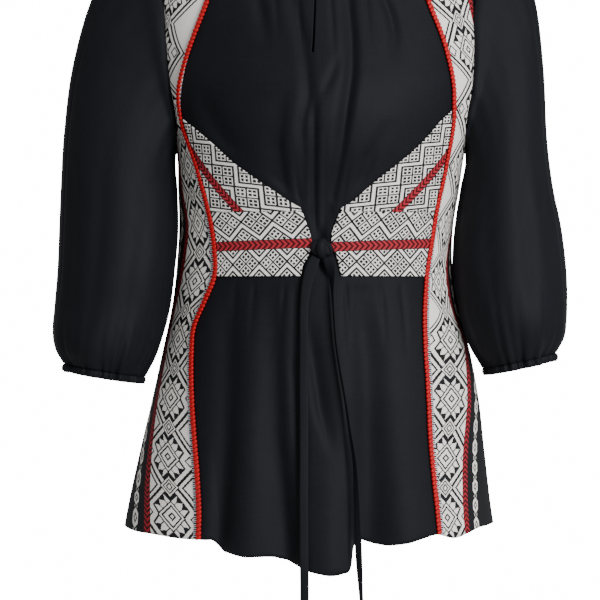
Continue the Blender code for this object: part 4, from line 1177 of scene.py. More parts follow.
front, front_points, _ = panel(
    "front", patch(*front_edges()), (BODY_FINER, BODY_FINER), BLACK, "black_cloth", ("front_centre",),
    -SEAM_GAP / 2, FRONT_HALF_COLUMNS)
as_sheet(front, front_points)

# %% [markdown]
# ## Back
#
# The photograph doesn't show the back. One plain piece of the same cloth hangs from a shallow neckline,
# with soft uneven folds from the waist to the hem, like those of the front.

# %% Back piece
def back_edges():
    right = inset_sides(side_line(1, back=True), 1, SEAM_GAP / 2)
    left = [(a + 2 * math.pi, z) for a, z in inset_sides(side_line(-1, back=True), -1, SEAM_GAP / 2)]
    low_angles = np.linspace(right[0][0], left[0][0], BACK_COLUMNS + 1)
    low = hem_edge(low_angles, right[0], left[0])
    bits = BACK_SHOULDER_BITS
    turns = BACK_COLUMNS - 2 * bits
    high = [shoulder_point(x, True) for x in np.linspace(SHOULDER_X, NECK_HALF, bits + 1)]
    around = np.linspace(math.pi / 2, -math.pi / 2, turns + 1)[1:]
    high += [neck_point(t, NECK_BACK_DROP, True) for t in around]
    high += [shoulder_point(x, True) for x in np.linspace(-NECK_HALF, -SHOULDER_X, bits + 1)[1:]]
    high = [(a if a > 0 else a + 2 * math.pi, z) for a, z in high]
    right[-1] = high[0]
    left[-1] = high[-1]
    return right, left, low, high


back, back_points, _ = panel(
    "back", patch(*back_edges()), (BODY_FINER, BODY_FINER), BLACK, "black_cloth", ("back",),
    SEAM_GAP / 2)
as_sheet(back, back_points)

# %% [markdown]
# ## Side panels
#
# Each side panel runs from the princess seam round to the side seam. The border's stars were read off
# the photograph as a line down the panel, and so was the chevron stripe. The map is laid so that the
# stars' middle follows the first line and the stripe the second, 27 mm of chart apart.

# %% Grain lines of the side panels
# Height, angle of the stars' middle, angle of the stripe's middle, in degrees from the front
GRAIN_LEFT = np.array([
    (-0.760, 42.0, 56.0), (-0.674, 47.7, 61.2), (-0.645, 51.2, 64.8), (-0.614, 55.0, 68.2),
    (-0.584, 58.0, 71.5), (-0.552, 60.8, 74.7), (-0.520, 62.6, 75.8), (-0.490, 64.3, 77.5),
    (-0.457, 62.8, 77.0), (-0.428, 58.0, 73.5), (-0.398, 55.8, 70.0), (-0.3675, 58.0, 68.5),
    (-0.335, 62.5, 74.0), (-0.304, 66.0, 79.0), (-0.250, 72.0, 86.0), (-0.217, 74.0, 88.0),
    (-0.180, 70.0, 83.0), (-0.148, 63.5, 76.0), (-0.080, 54.0, 66.0), (-0.020, 47.0, 59.0),
])
GRAIN_RIGHT = np.array([
    (-0.760, 44.0, 55.0), (-0.674, 45.4, 55.5), (-0.645, 45.6, 56.8), (-0.613, 47.2, 59.0),
    (-0.584, 50.2, 62.5), (-0.553, 53.5, 67.5), (-0.5216, 55.1, 72.0), (-0.491, 59.8, 76.0),
    (-0.460, 61.1, 69.5), (-0.430, 59.3, 69.0), (-0.395, 66.3, 73.7), (-0.362, 72.8, 84.0),
    (-0.337, 76.0, 88.0), (-0.302, 78.0, 91.0), (-0.271, 77.0, 90.0), (-0.242, 73.5, 87.0),
    (-0.210, 67.5, 80.5), (-0.180, 60.1, 73.0), (-0.150, 54.5, 67.0), (-0.080, 47.0, 59.0),
    (-0.020, 42.0, 54.0),
])
STAR_LEVEL = -0.6125
STAR_STEP = 62.5 / 61.3
STRIPE_FROM_STAR = 0.027

# How much the rows lean: height, share at the left, share at the right
LEAN = np.array([
    (-0.740, 0.06, 0.0), (-0.690, 0.05, 0.0), (-0.668, 0.12, 0.0), (-0.645, 0.06, -0.03),
    (-0.613, 0.17, -0.05), (-0.582, 0.20, 0.0), (-0.550, 0.0, 0.0), (-0.280, 0.0, 0.0),
    (-0.200, 0.12, 0.12), (-0.150, 0.29, 0.17), (-0.020, 0.29, 0.17),
])

# Height, and how much the left panel's inner half is drawn together
INNER_PART = np.array([
    (-0.700, 1.30), (-0.675, 1.22), (-0.650, 1.02), (-0.620, 1.02), (-0.580, 1.0),
])


def level_arc(start, end, z, steps=20):
    """Length of the level line round the torso between two angles, below zero where it runs back."""
    share = np.linspace(0, 1, steps + 1)
    angles = start[..., None] + (end - start)[..., None] * share
    points, _ = torso(angles, z[..., None] + 0 * angles)
    return np.linalg.norm(np.diff(points, axis=-2), axis=-1).sum(axis=-1) * np.sign(end - start)


def border_map(side):
    """Lays the star border on a side panel, from its grain lines."""
    grain = GRAIN_LEFT if side < 0 else GRAIN_RIGHT

    def lay(grid, points):
        turn = np.abs(grid[..., 0])
        z = grid[..., 1]
        star = np.radians(curve(z, grain, 1))
        stripe = np.radians(curve(z, grain, 2))
        apart = level_arc(star * side, stripe * side, z) * side
        out = level_arc(star * side, turn * side, z) * side
        u = STRIPE_FROM_STAR * out / apart
        if side < 0:
            u = np.where(u < 0, u * np.interp(z, INNER_PART[:, 0], INNER_PART[:, 1]), u)
        v = (z - STAR_LEVEL) * STAR_STEP - np.interp(z, LEAN[:, 0], LEAN[:, 1 if side < 0 else 2]) * out
        return {"border": np.stack([u, v if side < 0 else -v], axis=-1), "cloth": thread_map(points)}

    return lay


# %% Side panel pieces
def side_edges(side):
    inner = inset_sides(princess_line(side), side, SEAM_GAP / 2)
    outer = inset_sides(side_line(side), -side, SEAM_GAP / 2)
    low_angles = np.linspace(inner[0][0], outer[0][0], SIDE_COLUMNS + 1)
    low = hem_edge(low_angles, inner[0], outer[0])
    xs = np.linspace(abs(princess_top(side)), SHOULDER_X, SIDE_COLUMNS + 1)
    high = [shoulder_point(side * x) for x in xs]
    high[0] = (high[0][0] + side * SEAM_GAP / 2 / 0.19, high[0][1])
    inner[-1] = high[0]
    outer[-1] = high[-1]
    return inner, outer, low, high


def make_side_panel(suffix, side):
    """One side panel in the star border, with each point's distance from the corded seam."""
    name = "side_panel_" + suffix
    piece, points, normals = panel(
        name + "_cloth", patch(*side_edges(side)), (6, 9), STARS, "woven_cloth", (name,),
        -SEAM_GAP / 2, extra=border_map(side))
    far = steps_along(points, 1).ravel() * 1000
    layer = piece.data.attributes.new("from_seam", "FLOAT", "POINT")
    layer.data.foreach_set("value", np.concatenate([far, far]).astype(np.float32))
    as_sheet(piece, points)
    return points, normals


side_left_points, side_left_normals = make_side_panel("left", -1)
side_right_points, side_right_normals = make_side_panel("right", 1)

# %% [markdown]
# ## Waist flaps
#
# Each flap is two pieces: the upper one is cut on the bias, so its squares stand upright and its stripe
# runs down towards the waist, and the lower one is cut straight. They lie about 2 mm proud of the front
# and meet under the knot. Three places read off the photograph lay each weave.

# %% Where the weave lies on each flap
# Places (x, z) of one diamond group, of the next one along and of one in the row above or below,
# each with its place in the chart, then two places on the stripe's middle line and the stripe's scale
FLAP_WEAVE = {
    "bust_flap_left": (
        ((-0.0999, -0.3178, 0, 0), (-0.0750, -0.3410, 30, 0), (-0.0717, -0.3171, 15, 22)),
        None, (-0.1205, -0.3093), (-0.0818, -0.3564), 1.25),
    "bust_flap_right": (
        ((0.0946, -0.3179, 0, 0), (0.0697, -0.3389, -30, 0), (0.0663, -0.3171, -15, 22)),
        None, (0.1329, -0.2935), (0.0815, -0.3523), 1.25),
    "waist_band_left": (
        ((-0.0652, -0.3663, 0, 0), (-0.0325, -0.3649, 30, 0), (-0.0441, -0.3868, 15, -22)),
        ((-0.0761, -0.4110, 0, 0), (-0.0482, -0.4093, 30, 0), (-0.0621, -0.3880, 15, 22)),
        (-0.1049, -0.3923), (-0.0092, -0.3889), 1.0),
    "waist_band_right": (
        ((0.0770, -0.3637, 0, 0), (0.0476, -0.3656, -30, 0), (0.0558, -0.3868, -15, -22)),
        ((0.0796, -0.4110, 0, 0), (0.0517, -0.4093, -30, 0), (0.0656, -0.3880, -15, 22)),
        (0.0124, -0.3930), (0.1126, -0.3887), 1.0),
}


def laid_flat(theta, z):
    """A place on the front with the body's roundness opened out: length round from the middle, height."""
    theta = np.asarray(theta, float)
    z = np.asarray(z, float)
    return np.stack([level_arc(0 * theta, theta, z), z], axis=-1)


def chart_places(marks, flat):
    """Chart places of flat places, by the one flat stretch that fits three marks."""
    known = np.array([laid_flat(angle_at(np.array(x), z), z) for x, z, _, _ in marks])
    chart = np.array([(g, h) for _, _, g, h in marks]) / 1000
    stretch = np.linalg.solve(known[1:] - known[0], chart[1:] - chart[0])
    return (flat - known[0]) @ stretch + chart[0]


def flap_maps(name, theta, z):
    """The maps of one flap piece: its diamonds, its stripe and its threads."""
    upper, lower, start, end, scale = FLAP_WEAVE[name]
    flat = laid_flat(theta, z)
    a, b = (laid_flat(angle_at(np.array(x), h), h) for x, h in (start, end))
    along = (b - a) / np.linalg.norm(b - a)
    up = np.array([-along[1], along[0]])
    up = up if up[1] > 0 else -up
    s = (flat - a) @ along
    t = (flat - a) @ up * scale
    groups = chart_places(upper, flat)
    if lower is not None:
        groups = np.where((t > 0)[..., None], groups, chart_places(lower, flat))
    return {"groups": groups, "stripe": np.stack([s, t], axis=-1), "cloth": flat}


# %% Creases of the flaps
# Ridges that run out from the knot: x and height of both ends, height of the ridge, width
FLAP_CREASES = (
    (-0.012, -0.392, -0.050, -0.372, 0.0010, 0.0040),
    (-0.013, -0.405, -0.055, -0.412, 0.0009, 0.0045),
    (-0.016, -0.366, -0.045, -0.345, 0.0008, 0.0040),
    (0.015, -0.392, 0.050, -0.375, 0.0010, 0.0040),
    (0.017, -0.404, 0.055, -0.410, 0.0009, 0.0045),
    (0.020, -0.366, 0.048, -0.344, 0.0008, 0.0040),
    (-0.085, -0.330, -0.062, -0.352, 0.0008, 0.0060),
    (0.085, -0.325, 0.060, -0.350, 0.0008, 0.0060),
)


def ridge_height(x, z):
    """How far the creases lift a flap at a place."""
    lift = np.zeros(np.shape(x))
    for x0, z0, x1, z1, high, width in FLAP_CREASES:
        run = np.array([x1 - x0, z1 - z0])
        length = np.linalg.norm(run)
        along = ((x - x0) * run[0] + (z - z0) * run[1]) / length
        off = ((x - x0) * -run[1] + (z - z0) * run[0]) / length
        fade = np.exp(-((along / length - 0.35) / 0.45) ** 2)
        lift = lift + high * fade * np.exp(-((off / width) ** 2))
    return lift


# %% Flap pieces
FLAP_LIFT = 0.0023
FLAP_CLEAR = 0.0026
FLAP_TIP_HEIGHT = 0.0035
FLAP_THICK = 0.0012
FLAP_COLUMNS = 9
FLAP_ROWS = 5


def on_cloth(x, z):
    return float(angle_at(np.array(x), z)), float(z)


def flap_grids(side):
    """Coarse grids of the upper and the lower piece of one flap."""
    column = 1 if side < 0 else 2
    top = FLAP_TOP_LEFT if side < 0 else FLAP_TOP_RIGHT[::-1]
    end = FLAP_END_LEFT if side < 0 else FLAP_END_RIGHT
    gap = SEAM_GAP / 2

    def outer_edge(heights):
        return [on_cloth(curve(z, PRINCESS, column) - side * FLAP_CLEAR, z) for z in heights]

    def start_x(corner, z):
        return math.sin(corner[0]) * float(half_width(side, z))

    def level_edge(outer_corner, inner_corner, inner_x, z):
        """A level edge between the corners at its outer and inner ends."""
        xs = np.linspace(start_x(outer_corner, z), inner_x, FLAP_COLUMNS + 1)
        return [outer_corner] + [on_cloth(x, z) for x in xs[1:-1]] + [inner_corner]

    heights = np.linspace(
        FLAP_JOIN_Z + gap, float(top[0, 1]) + FLAP_CLEAR * 0.8 - 0.004, FLAP_ROWS)
    outer = outer_edge(heights)
    tip = float(top[-1, 0])
    tip_heights = np.linspace(FLAP_JOIN_Z + gap, FLAP_JOIN_Z + FLAP_TIP_HEIGHT, FLAP_ROWS)
    inner = [on_cloth(tip, z) for z in tip_heights]
    order = top[np.argsort(top[:, 0])]
    xs = np.linspace(start_x(outer[-1], heights[-1]), tip, FLAP_COLUMNS + 1)
    high = [on_cloth(x, float(np.interp(x, order[:, 0], order[:, 1]))) for x in xs]
    high[0] = outer[-1]
    high[-1] = inner[-1]
    low_z = FLAP_JOIN_Z + gap
    low_xs = np.linspace(start_x(outer[0], heights[0]), tip, FLAP_COLUMNS + 1)
    upper = patch(outer, inner, [on_cloth(x, low_z) for x in low_xs], high)

    heights = end[:, 0].copy()
    heights[0] = FLAP_LOW_Z
    heights[-1] = FLAP_JOIN_Z - gap
    outer = outer_edge(heights)
    inner = [on_cloth(x, z) for x, z in zip(end[:, 1], heights)]
    low = level_edge(outer[0], inner[0], float(end[0, 1]), heights[0])
    high = level_edge(outer[-1], inner[-1], float(end[-1, 1]), heights[-1])
    return upper, patch(outer, inner, low, high)


def make_flap(name, coarse, times):
    """One flap piece, lifted off the front and creased towards the knot."""
    grid = finer(finer(coarse, times[0], 0), times[1], 1)
    plain_points, plain = torso(grid[..., 0], grid[..., 1])
    lift = FLAP_LIFT + ridge_height(plain_points[..., 0], plain_points[..., 2])
    points = plain_points + plain * lift[..., None]
    normals = grid_normals(points, plain)
    maps = flap_maps(name, grid[..., 0], grid[..., 1])
    piece = cloth_wall(
        name + "_cloth", points, normals, DIAMONDS, "woven_cloth", (name,), maps, thick=FLAP_THICK)
    as_sheet(piece, points)


for suffix, side in (("left", -1), ("right", 1)):
    upper, lower = flap_grids(side)
    make_flap("bust_flap_" + suffix, upper, (10, 10))
    make_flap("waist_band_" + suffix, lower, (9, 10))

# %% [markdown]
# ## Sleeves
#
# A full sleeve is cut in two pieces, seamed over and under the arm, set into the armhole and gathered
# into a narrow elastic casing. Rings from the armhole to the cuff give the form. The gathers are uneven
# ripples that grow towards the cuff, and a few deeper pleats are placed where the photograph has them.

# %% Rings of the sleeves
# Sleeve rings: x and z of the outer end, x and z of the inner end, y of the centre, half depth
SLEEVE_LEFT = (
    (-0.2765, -0.325, -0.1525, -0.330, -0.014, 0.060),
    (-0.2778, -0.370, -0.1512, -0.373, -0.019, 0.062),
    (-0.2790, -0.415, -0.1548, -0.418, -0.024, 0.064),
    (-0.2822, -0.452, -0.1600, -0.458, -0.024, 0.065),
    (-0.2838, -0.480, -0.1680, -0.487, -0.028, 0.063),
    (-0.2800, -0.500, -0.1765, -0.509, -0.030, 0.058),
    (-0.2705, -0.5155, -0.1880, -0.529, -0.031, 0.046),
)
SLEEVE_RIGHT = (
    (0.2500, -0.325, 0.1520, -0.330, -0.014, 0.056),
    (0.2585, -0.370, 0.1452, -0.373, -0.020, 0.058),
    (0.2628, -0.410, 0.1428, -0.413, -0.026, 0.060),
    (0.2638, -0.440, 0.1458, -0.444, -0.031, 0.061),
    (0.2628, -0.466, 0.1520, -0.471, -0.034, 0.060),
    (0.2598, -0.487, 0.1615, -0.496, -0.033, 0.055),
    (0.2505, -0.504, 0.1765, -0.520, -0.031, 0.043),
)
# Share of the way from the armhole to the first ring
CAP_STEPS = (0.0, 0.16, 0.36, 0.60, 0.82)
CAP_REACH = 0.95
CAP_DIRECTION = (0.90, 0.45)
SLEEVE_FINER = (6, 8)

# Gathers: ripples round the sleeve, how uneven, turns and start of the unevenness, height
RIPPLES = (
    (10, 0.16, 2, 0.6, 0.0019),
    (23, 0.09, 3, 1.1, 0.0007),
    (37, 0.05, 2, 0.0, 0.0004),
)

# Pleats above the cuffs: turn round the sleeve in degrees (90 is the front), depth, width in degrees,
# how far up the sleeve it runs, from 0 at the armhole to 1 at the cuff
PLEATS_LEFT = (
    (112.0, 0.0042, 5.0, 0.8), (68.0, 0.0038, 4.0, 0.86), (92.0, 0.002, 4.0, 0.92),
    (140.0, 0.003, 5.0, 0.88), (35.0, 0.003, 5.0, 0.9), (15.0, 0.0026, 5.0, 0.86),
    (200.0, 0.0032, 5.0, 0.84), (235.0, 0.004, 5.0, 0.8), (262.0, 0.003, 5.0, 0.86),
    (290.0, 0.004, 5.0, 0.82), (325.0, 0.0032, 5.0, 0.86),
)
PLEATS_RIGHT = (
    (118.0, 0.0042, 5.0, 0.8), (92.0, 0.0034, 5.0, 0.85), (55.0, 0.0036, 5.0, 0.88),
    (75.0, 0.002, 4.0, 0.92), (150.0, 0.003, 5.0, 0.86), (20.0, 0.003, 5.0, 0.88),
    (205.0, 0.0034, 5.0, 0.84), (240.0, 0.004, 5.0, 0.8), (270.0, 0.0032, 5.0, 0.86),
    (300.0, 0.0036, 5.0, 0.82), (335.0, 0.003, 5.0, 0.88),
)
# Long soft hollows: turn at the top and at the low end, in degrees, top and low share, depth, width
HOLLOWS = (
    (78.0, 74.0, 0.28, 0.86, 0.0022, 9.0),
    (120.0, 112.0, 0.40, 0.90, 0.0020, 10.0),
    (40.0, 48.0, 0.35, 0.80, 0.0016, 9.0),
    (250.0, 256.0, 0.34, 0.88, 0.0026, 10.0),
    (300.0, 296.0, 0.30, 0.82, 0.0020, 10.0),
    (165.0, 160.0, 0.30, 0.80, 0.0018, 9.0),
)


def armhole_loop(side):
    """Points and normals round an armhole, from the underarm over the front to the shoulder and back."""
    front = side_line(side)[ROWS_LOW:]
    back = side_line(side, back=True)[ROWS_LOW:]
    line = front + back[::-1][1:-1]
    angles = np.array([a for a, _ in line])
    heights = np.array([z for _, z in line])
    points, normals = torso(angles, heights)
    mid_points = (points + np.roll(points, -1, axis=0)) / 2
    mid_normals = unit(normals + np.roll(normals, -1, axis=0))
    loop = np.empty((2 * len(points), 3))
    normal = np.empty_like(loop)
    loop[0::2] = points
    loop[1::2] = mid_points
    normal[0::2] = normals
    normal[1::2] = mid_normals
    return loop, normal


def sleeve_ring(row, turns):
    """One ring of a sleeve, from a row of its table."""
    xo, zo, xi, zi, yc, half = row
    centre = np.array([(xo + xi) / 2, yc, (zo + zi) / 2])
    across = np.array([(xo - xi) / 2, 0.0, (zo - zi) / 2])
    ahead = np.array([0.0, -half, 0.0])
    return centre + across * np.cos(turns)[:, None] + ahead * np.sin(turns)[:, None]


def turn_gap(a, b):
    """Difference of two turns in degrees, the short way round."""
    return (a - b + 180) % 360 - 180


def closed_finer(rings, times):
    """More columns round closed rings, on smooth curves."""
    padded = np.concatenate([rings[:, -2:], rings, rings[:, :3]], axis=1)
    found = finer(padded, times, 1)
    return found[:, 2 * times:2 * times + rings.shape[1] * times]


def sleeve_form(side, table):
    """Coarse rings of a sleeve from the armhole to the cuff, and the armhole's outward directions."""
    loop, loop_normals = armhole_loop(side)
    turns = math.pi - np.arange(SLEEVE_COLUMNS) * 2 * math.pi / SLEEVE_COLUMNS
    rings = [sleeve_ring(row, turns) for row in table]
    first = rings[0]
    reach = np.linalg.norm(first - loop, axis=1, keepdims=True) * CAP_REACH
    out = np.array([side * CAP_DIRECTION[0], 0.0, -CAP_DIRECTION[1]])
    share = (1 - np.cos(turns)) / 2
    start = unit(out * (1 - share[:, None]) + np.array([side * 0.35, 0.0, -1.0]) * share[:, None])
    down = unit(rings[1] - first)
    grid = []
    for t in CAP_STEPS:
        grid.append(smooth_between(t, loop, reach * start, first, reach * down))
    grid[0] = loop + start * SLEEVE_GAP
    return np.array(grid + rings), loop_normals


# %% Sleeve pieces
def make_sleeve(suffix, side, table, pleats):
    """The front and back pieces of a sleeve, gathered into the cuff."""
    coarse, loop_normals = sleeve_form(side, table)
    times = SLEEVE_FINER[1]
    rings = finer(closed_finer(coarse, times), SLEEVE_FINER[0], 0)
    count = rings.shape[1]
    turn = (180 - np.arange(count) * 360 / count) % 360
    down = np.linspace(0, 1, len(rings))[:, None]
    swell = np.clip((down - 0.62) / 0.38, 0, 1) ** 1.6
    radians = np.radians(turn)
    ripple = sum(
        np.cos(number * (radians + uneven * np.sin(turns * radians + start))) * high
        for number, uneven, turns, start, high in RIPPLES
    )
    push = ripple * swell
    for at, depth, width, top in pleats:
        grow = np.clip((down - top) / (1 - top), 0, 1) ** 0.8
        push = push - depth * grow * np.exp(-((turn_gap(turn, at) / (width * (1.3 - 0.5 * grow))) ** 2))
    for top_turn, low_turn, top, low, depth, width in HOLLOWS:
        share = np.clip((down - top) / (low - top), 0, 1)
        at = top_turn + (low_turn - top_turn) * share
        fade = np.sin(np.pi * share)
        push = push - depth * fade * np.exp(-((turn_gap(turn, at) / width) ** 2))
    centres = rings.mean(axis=1, keepdims=True)
    radial = unit((rings - centres) * np.array([1.0, 1.0, 0.4]))
    cap = np.clip(down / 0.12, 0, 1)
    points = rings + radial * (push * cap)[..., None]
    puff = 0.0022 * np.exp(-(((down - 0.035) / 0.03) ** 2))
    points = points + radial * puff[..., None]
    normals = grid_normals(points, points - centres, closed=True)
    normals[0] = np.repeat(loop_normals, times, axis=0)
    normals[-1] = unit(points[-1] - points[-1].mean(axis=0))
    seam = SLEEVE_SEAM_COLUMN * times
    around = np.arange(count + 1) % count
    made = []
    for part, columns in (("front", around[:seam + 1]), ("back", around[seam:])):
        name = "sleeve_" + part + "_" + suffix
        piece_points = seam_dip(points[:, columns], normals[:, columns])
        piece_points[:, 0] += unit(piece_points[:, 1] - piece_points[:, 0]) * SEAM_GAP / 2
        piece_points[:, -1] += unit(piece_points[:, -2] - piece_points[:, -1]) * SEAM_GAP / 2
        piece = cloth_wall(
            name + "_cloth", piece_points, normals[:, columns], BLACK, "black_cloth", (name,),
            {"cloth": thread_map(piece_points)})
        made.append((piece, piece_points))
    return points, made


sleeves = {
    "left": make_sleeve("left", -1, SLEEVE_LEFT, PLEATS_LEFT),
    "right": make_sleeve("right", 1, SLEEVE_RIGHT, PLEATS_RIGHT),
}
print("sleeve pieces:", [piece.name for _, pieces in sleeves.values() for piece, _ in pieces])

# %% [markdown]
# ## Cuffs
#
# A narrow casing holds elastic, so its cloth is drawn into small even puckers, pinched along a row of
# stitches near each edge.

# %% Cuff casings
CUFF_HEIGHT = 0.008
CUFF_PUCKERS = 52
CUFF_PUCKER_DEPTH = 0.0003

# Height below the sleeve's edge and step inwards of the part that is tucked up inside the sleeve
CUFF_TUCK = ((-0.0022, 0.0018), (-0.0002, 0.0016), (0.0004, 0.0011))


def rolled_edge(share, stitch_at, stitch_width):
    """How far a doubled edge swells, with a row of stitches that pinches it."""
    pinch = 0.0005 * math.exp(-(((share - stitch_at) / stitch_width) ** 2))
    return 0.0007 * math.sin(math.pi * share) - pinch


def make_cuff(suffix, sleeve_points):
    """A puckered casing that carries on from the sleeve's last ring."""
    ring = sleeve_points[-1]
    centre = ring.mean(axis=0)
    count = len(ring)
    spread = np.cross(ring[0] - centre, ring[count // 4] - centre)
    axis = unit(spread * np.sign(-spread[2]))
    radial = unit(ring - centre)
    turn = np.arange(count) * 2 * math.pi / count
    pucker = np.cos(CUFF_PUCKERS * turn + 1.3 * np.sin(5 * turn)) * CUFF_PUCKER_DEPTH
    rows = [ring + axis * height - radial * inset for height, inset in CUFF_TUCK]
    for share in np.linspace(0.1, 1, 12):
        belly = rolled_edge(share, 0.2, 0.07) - 0.0005 * math.exp(-(((share - 0.85) / 0.07) ** 2))
        height = SLEEVE_GAP + (CUFF_HEIGHT - SLEEVE_GAP) * share
        rows.append(ring + axis * height + radial * (belly + pucker * (0.4 + 0.6 * share))[:, None])
    points = np.array(rows)
    normals = np.repeat(radial[None], len(rows), axis=0)
    flat = np.stack([np.broadcast_to(turn * 0.04, points.shape[:2]), steps_along(points, 0)], axis=-1)
    name = "cuff_" + suffix
    return cloth_wall(
        name + "_cloth", points, normals, BLACK, "black_cloth", (name,), {"cloth": flat},
        closed=True, thick=0.0014)


for suffix, (points, pieces) in sleeves.items():
    cuff = make_cuff(suffix, points)
    (sleeve_front, cut_front), (sleeve_back, cut_back) = pieces
    as_sheet(sleeve_front, cut_front)
    as_sheet(sleeve_back, cut_back)

# %% [markdown]
# ## Neck binding
#
# A bias strip closes the neckline, open at the slit. It is above the photograph's edge, so it is plain:
# a soft roll with a row of stitches that draws it in near its foot.

# %% Neck binding piece
# Height and step inwards of the binding's foot, which is tucked behind the neckline
BINDING_TUCK = ((-0.0026, 0.0019), (0.0, 0.0017), (0.0006, 0.0011))
BINDING_LEAN = 0.25


def make_neckband():
    """A narrow soft binding that stands on the neckline."""
    n = FRONT_HALF_COLUMNS * BODY_FINER
    step = SHOULDER_BITS * BODY_FINER
    top = front_points[-1]
    right_half = top[n + BODY_FINER:2 * n + BODY_FINER - step + 1]
    left_half = top[step:n + 1]
    bits = BACK_SHOULDER_BITS * BODY_FINER
    behind = back_points[-1][bits + 3:BACK_COLUMNS * BODY_FINER - bits - 2]
    ring = np.concatenate([right_half, behind, left_half])
    level = ring * np.array([1.0, 1.0, 0.0])
    centre = np.array([0.0, float(level[:, 1].mean()), 0.0])
    outward = unit(level - centre)
    up = np.array([0.0, 0.0, 1.0])
    rise = unit(up - BINDING_LEAN * outward)
    face = unit(outward + BINDING_LEAN * up)
    rows = [ring + rise * height - face * inset for height, inset in BINDING_TUCK]
    for share in np.linspace(0.08, 1, 10):
        height = 0.0010 + (NECKBAND_HEIGHT + 0.0009) * share
        rows.append(ring + rise * height + face * rolled_edge(share, 0.22, 0.09))
    points = np.array(rows)
    normals = np.repeat(face[None], len(rows), axis=0)
    piece = cloth_wall(
        "neck_binding", points, normals, BLACK, "black_cloth", ("neckband",),
        {"cloth": thread_map(points)}, thick=0.0016)
    as_sheet(piece, points)


make_neckband()

# %% [markdown]
# ## The knot
#
# The two ties cross and are pulled into a small tight knot. Seen close, it is a padded middle with one
# turn of tie over it and two loops that run into the flaps' ends. Each turn starts as a ring and is
# pressed and turned, and a rounded block fills the middle.

# %% Knot
KNOT = (0.00175, -0.1066, -0.3945)


def knot_turn(place, major, minor, turns, sizes):
    """One turn of the tie: a ring, turned and pressed flat."""
    bpy.ops.mesh.primitive_torus_add(
        location=place, major_radius=major, minor_radius=minor, major_segments=40, minor_segments=14)
    piece = bpy.context.object
    bpy.ops.object.mode_set(mode="EDIT")
    bpy.ops.mesh.select_all(action="SELECT")
    for axis, angle in turns:
        bpy.ops.transform.rotate(value=math.radians(angle), orient_axis=axis, center_override=place)
    bpy.ops.transform.resize(value=sizes, center_override=place)
    bpy.ops.object.mode_set(mode="OBJECT")
    return piece


def knot_middle(place, half):
    """The padded middle of the knot: a block, rounded by bevels."""
    bpy.ops.mesh.primitive_cube_add(size=1.0, location=place)
    piece = bpy.context.object
    bpy.ops.object.mode_set(mode="EDIT")
    bpy.ops.mesh.select_all(action="SELECT")
    bpy.ops.transform.resize(value=[2 * h for h in half], center_override=place)
    bpy.ops.mesh.bevel(offset=min(half) * 0.6, segments=4, affect="EDGES")
    bpy.ops.object.mode_set(mode="OBJECT")
    return piece


x, y, z = KNOT
knot_parts = [
    knot_middle((x, y + 0.0008, z), (0.0088, 0.0046, 0.0072)),
    knot_turn((x + 0.0008, y, z), 0.0058, 0.0030, (("Y", 90.0), ("Z", 12.0)), (1.5, 0.95, 1.25)),
    knot_turn((x - 0.0042, y - 0.0004, z + 0.0006), 0.0040, 0.0024,
              (("X", 70.0), ("Z", -18.0)), (1.2, 0.9, 1.3)),
    knot_turn((x + 0.0052, y - 0.0002, z - 0.0004), 0.0038, 0.0023,
              (("X", 66.0), ("Z", 24.0)), (1.15, 0.9, 1.3)),
]
bpy.ops.object.select_all(action="DESELECT")
for part in knot_parts:
    part.select_set(True)
bpy.context.view_layer.objects.active = knot_parts[0]
bpy.ops.object.join()
knot = bpy.context.object
knot.name = "knot"
bpy.ops.object.transform_apply(location=True, rotation=True, scale=True)
bpy.ops.object.shade_smooth()
knot.data.materials.clear()
knot.data.materials.append(BLACK_ROLLED)
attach(knot, "root")
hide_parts("tie_knot")
bpy.ops.object.select_all(action="DESELECT")
print("knot:", [round(v * 1000, 1) for v in knot.dimensions], "mm")

# %% [markdown]
# ## Ribbed red cord
#
# The long seams are trimmed with a cord wrapped in red yarn, so it shows fat slanting ribs about 4 mm
# apart. One rib is modelled, then set side by side along the seam over a darker core.

# %% Red cord
TRIM_WIDTH = 0.0060
TRIM_HEIGHT = 0.0030
TRIM_LIFT = 0.0010
RIB_PITCH = 0.0043
RIB_HALF = (TRIM_WIDTH / 2, RIB_PITCH / 2, TRIM_HEIGHT / 2)
RIB_FULLNESS = (0.55, 0.75, 0.8)
RIB_SLANT = 0.30
CORE_WIDTH = 0.0040
CORE_HEIGHT = 0.0022


def red_yarn(name, low, high):
    """Twisted cotton yarn: fine strands across the rib, drawn about 0.7 mm apart."""
    finish, tree, shader = new_finish(name)
    where = add_node(tree, "ShaderNodeTexCoord").outputs["Object"]
    known = {}
    for part, scale in (("strands", 1400.0), ("broad", 120.0)):
        noise = {"Vector": where, "Scale": scale, "Detail": 2.0}
        known[part] = add_node(tree, "ShaderNodeTexNoise", noise).outputs["Fac"]
    work_out(tree, known, (
        ("both", "ADD", "strands", "broad"),
        ("share", "MULTIPLY", "both", 0.5),
    ))
    base = mixed(tree, known["share"], colour(low), colour(high))
    relief = {"Height": known["strands"], "Strength": 0.4, "Distance": 0.0004}
    give_surface(tree, shader, base, relief, {"Roughness": 0.6, "Specular IOR Level": 0.2})
    return finish


RED_YARN = red_yarn("red cotton yarn, wound", "#96060c", "#b30b14")
RED_CORE = red_yarn("red cotton core in shade", "#500507", "#74090b")


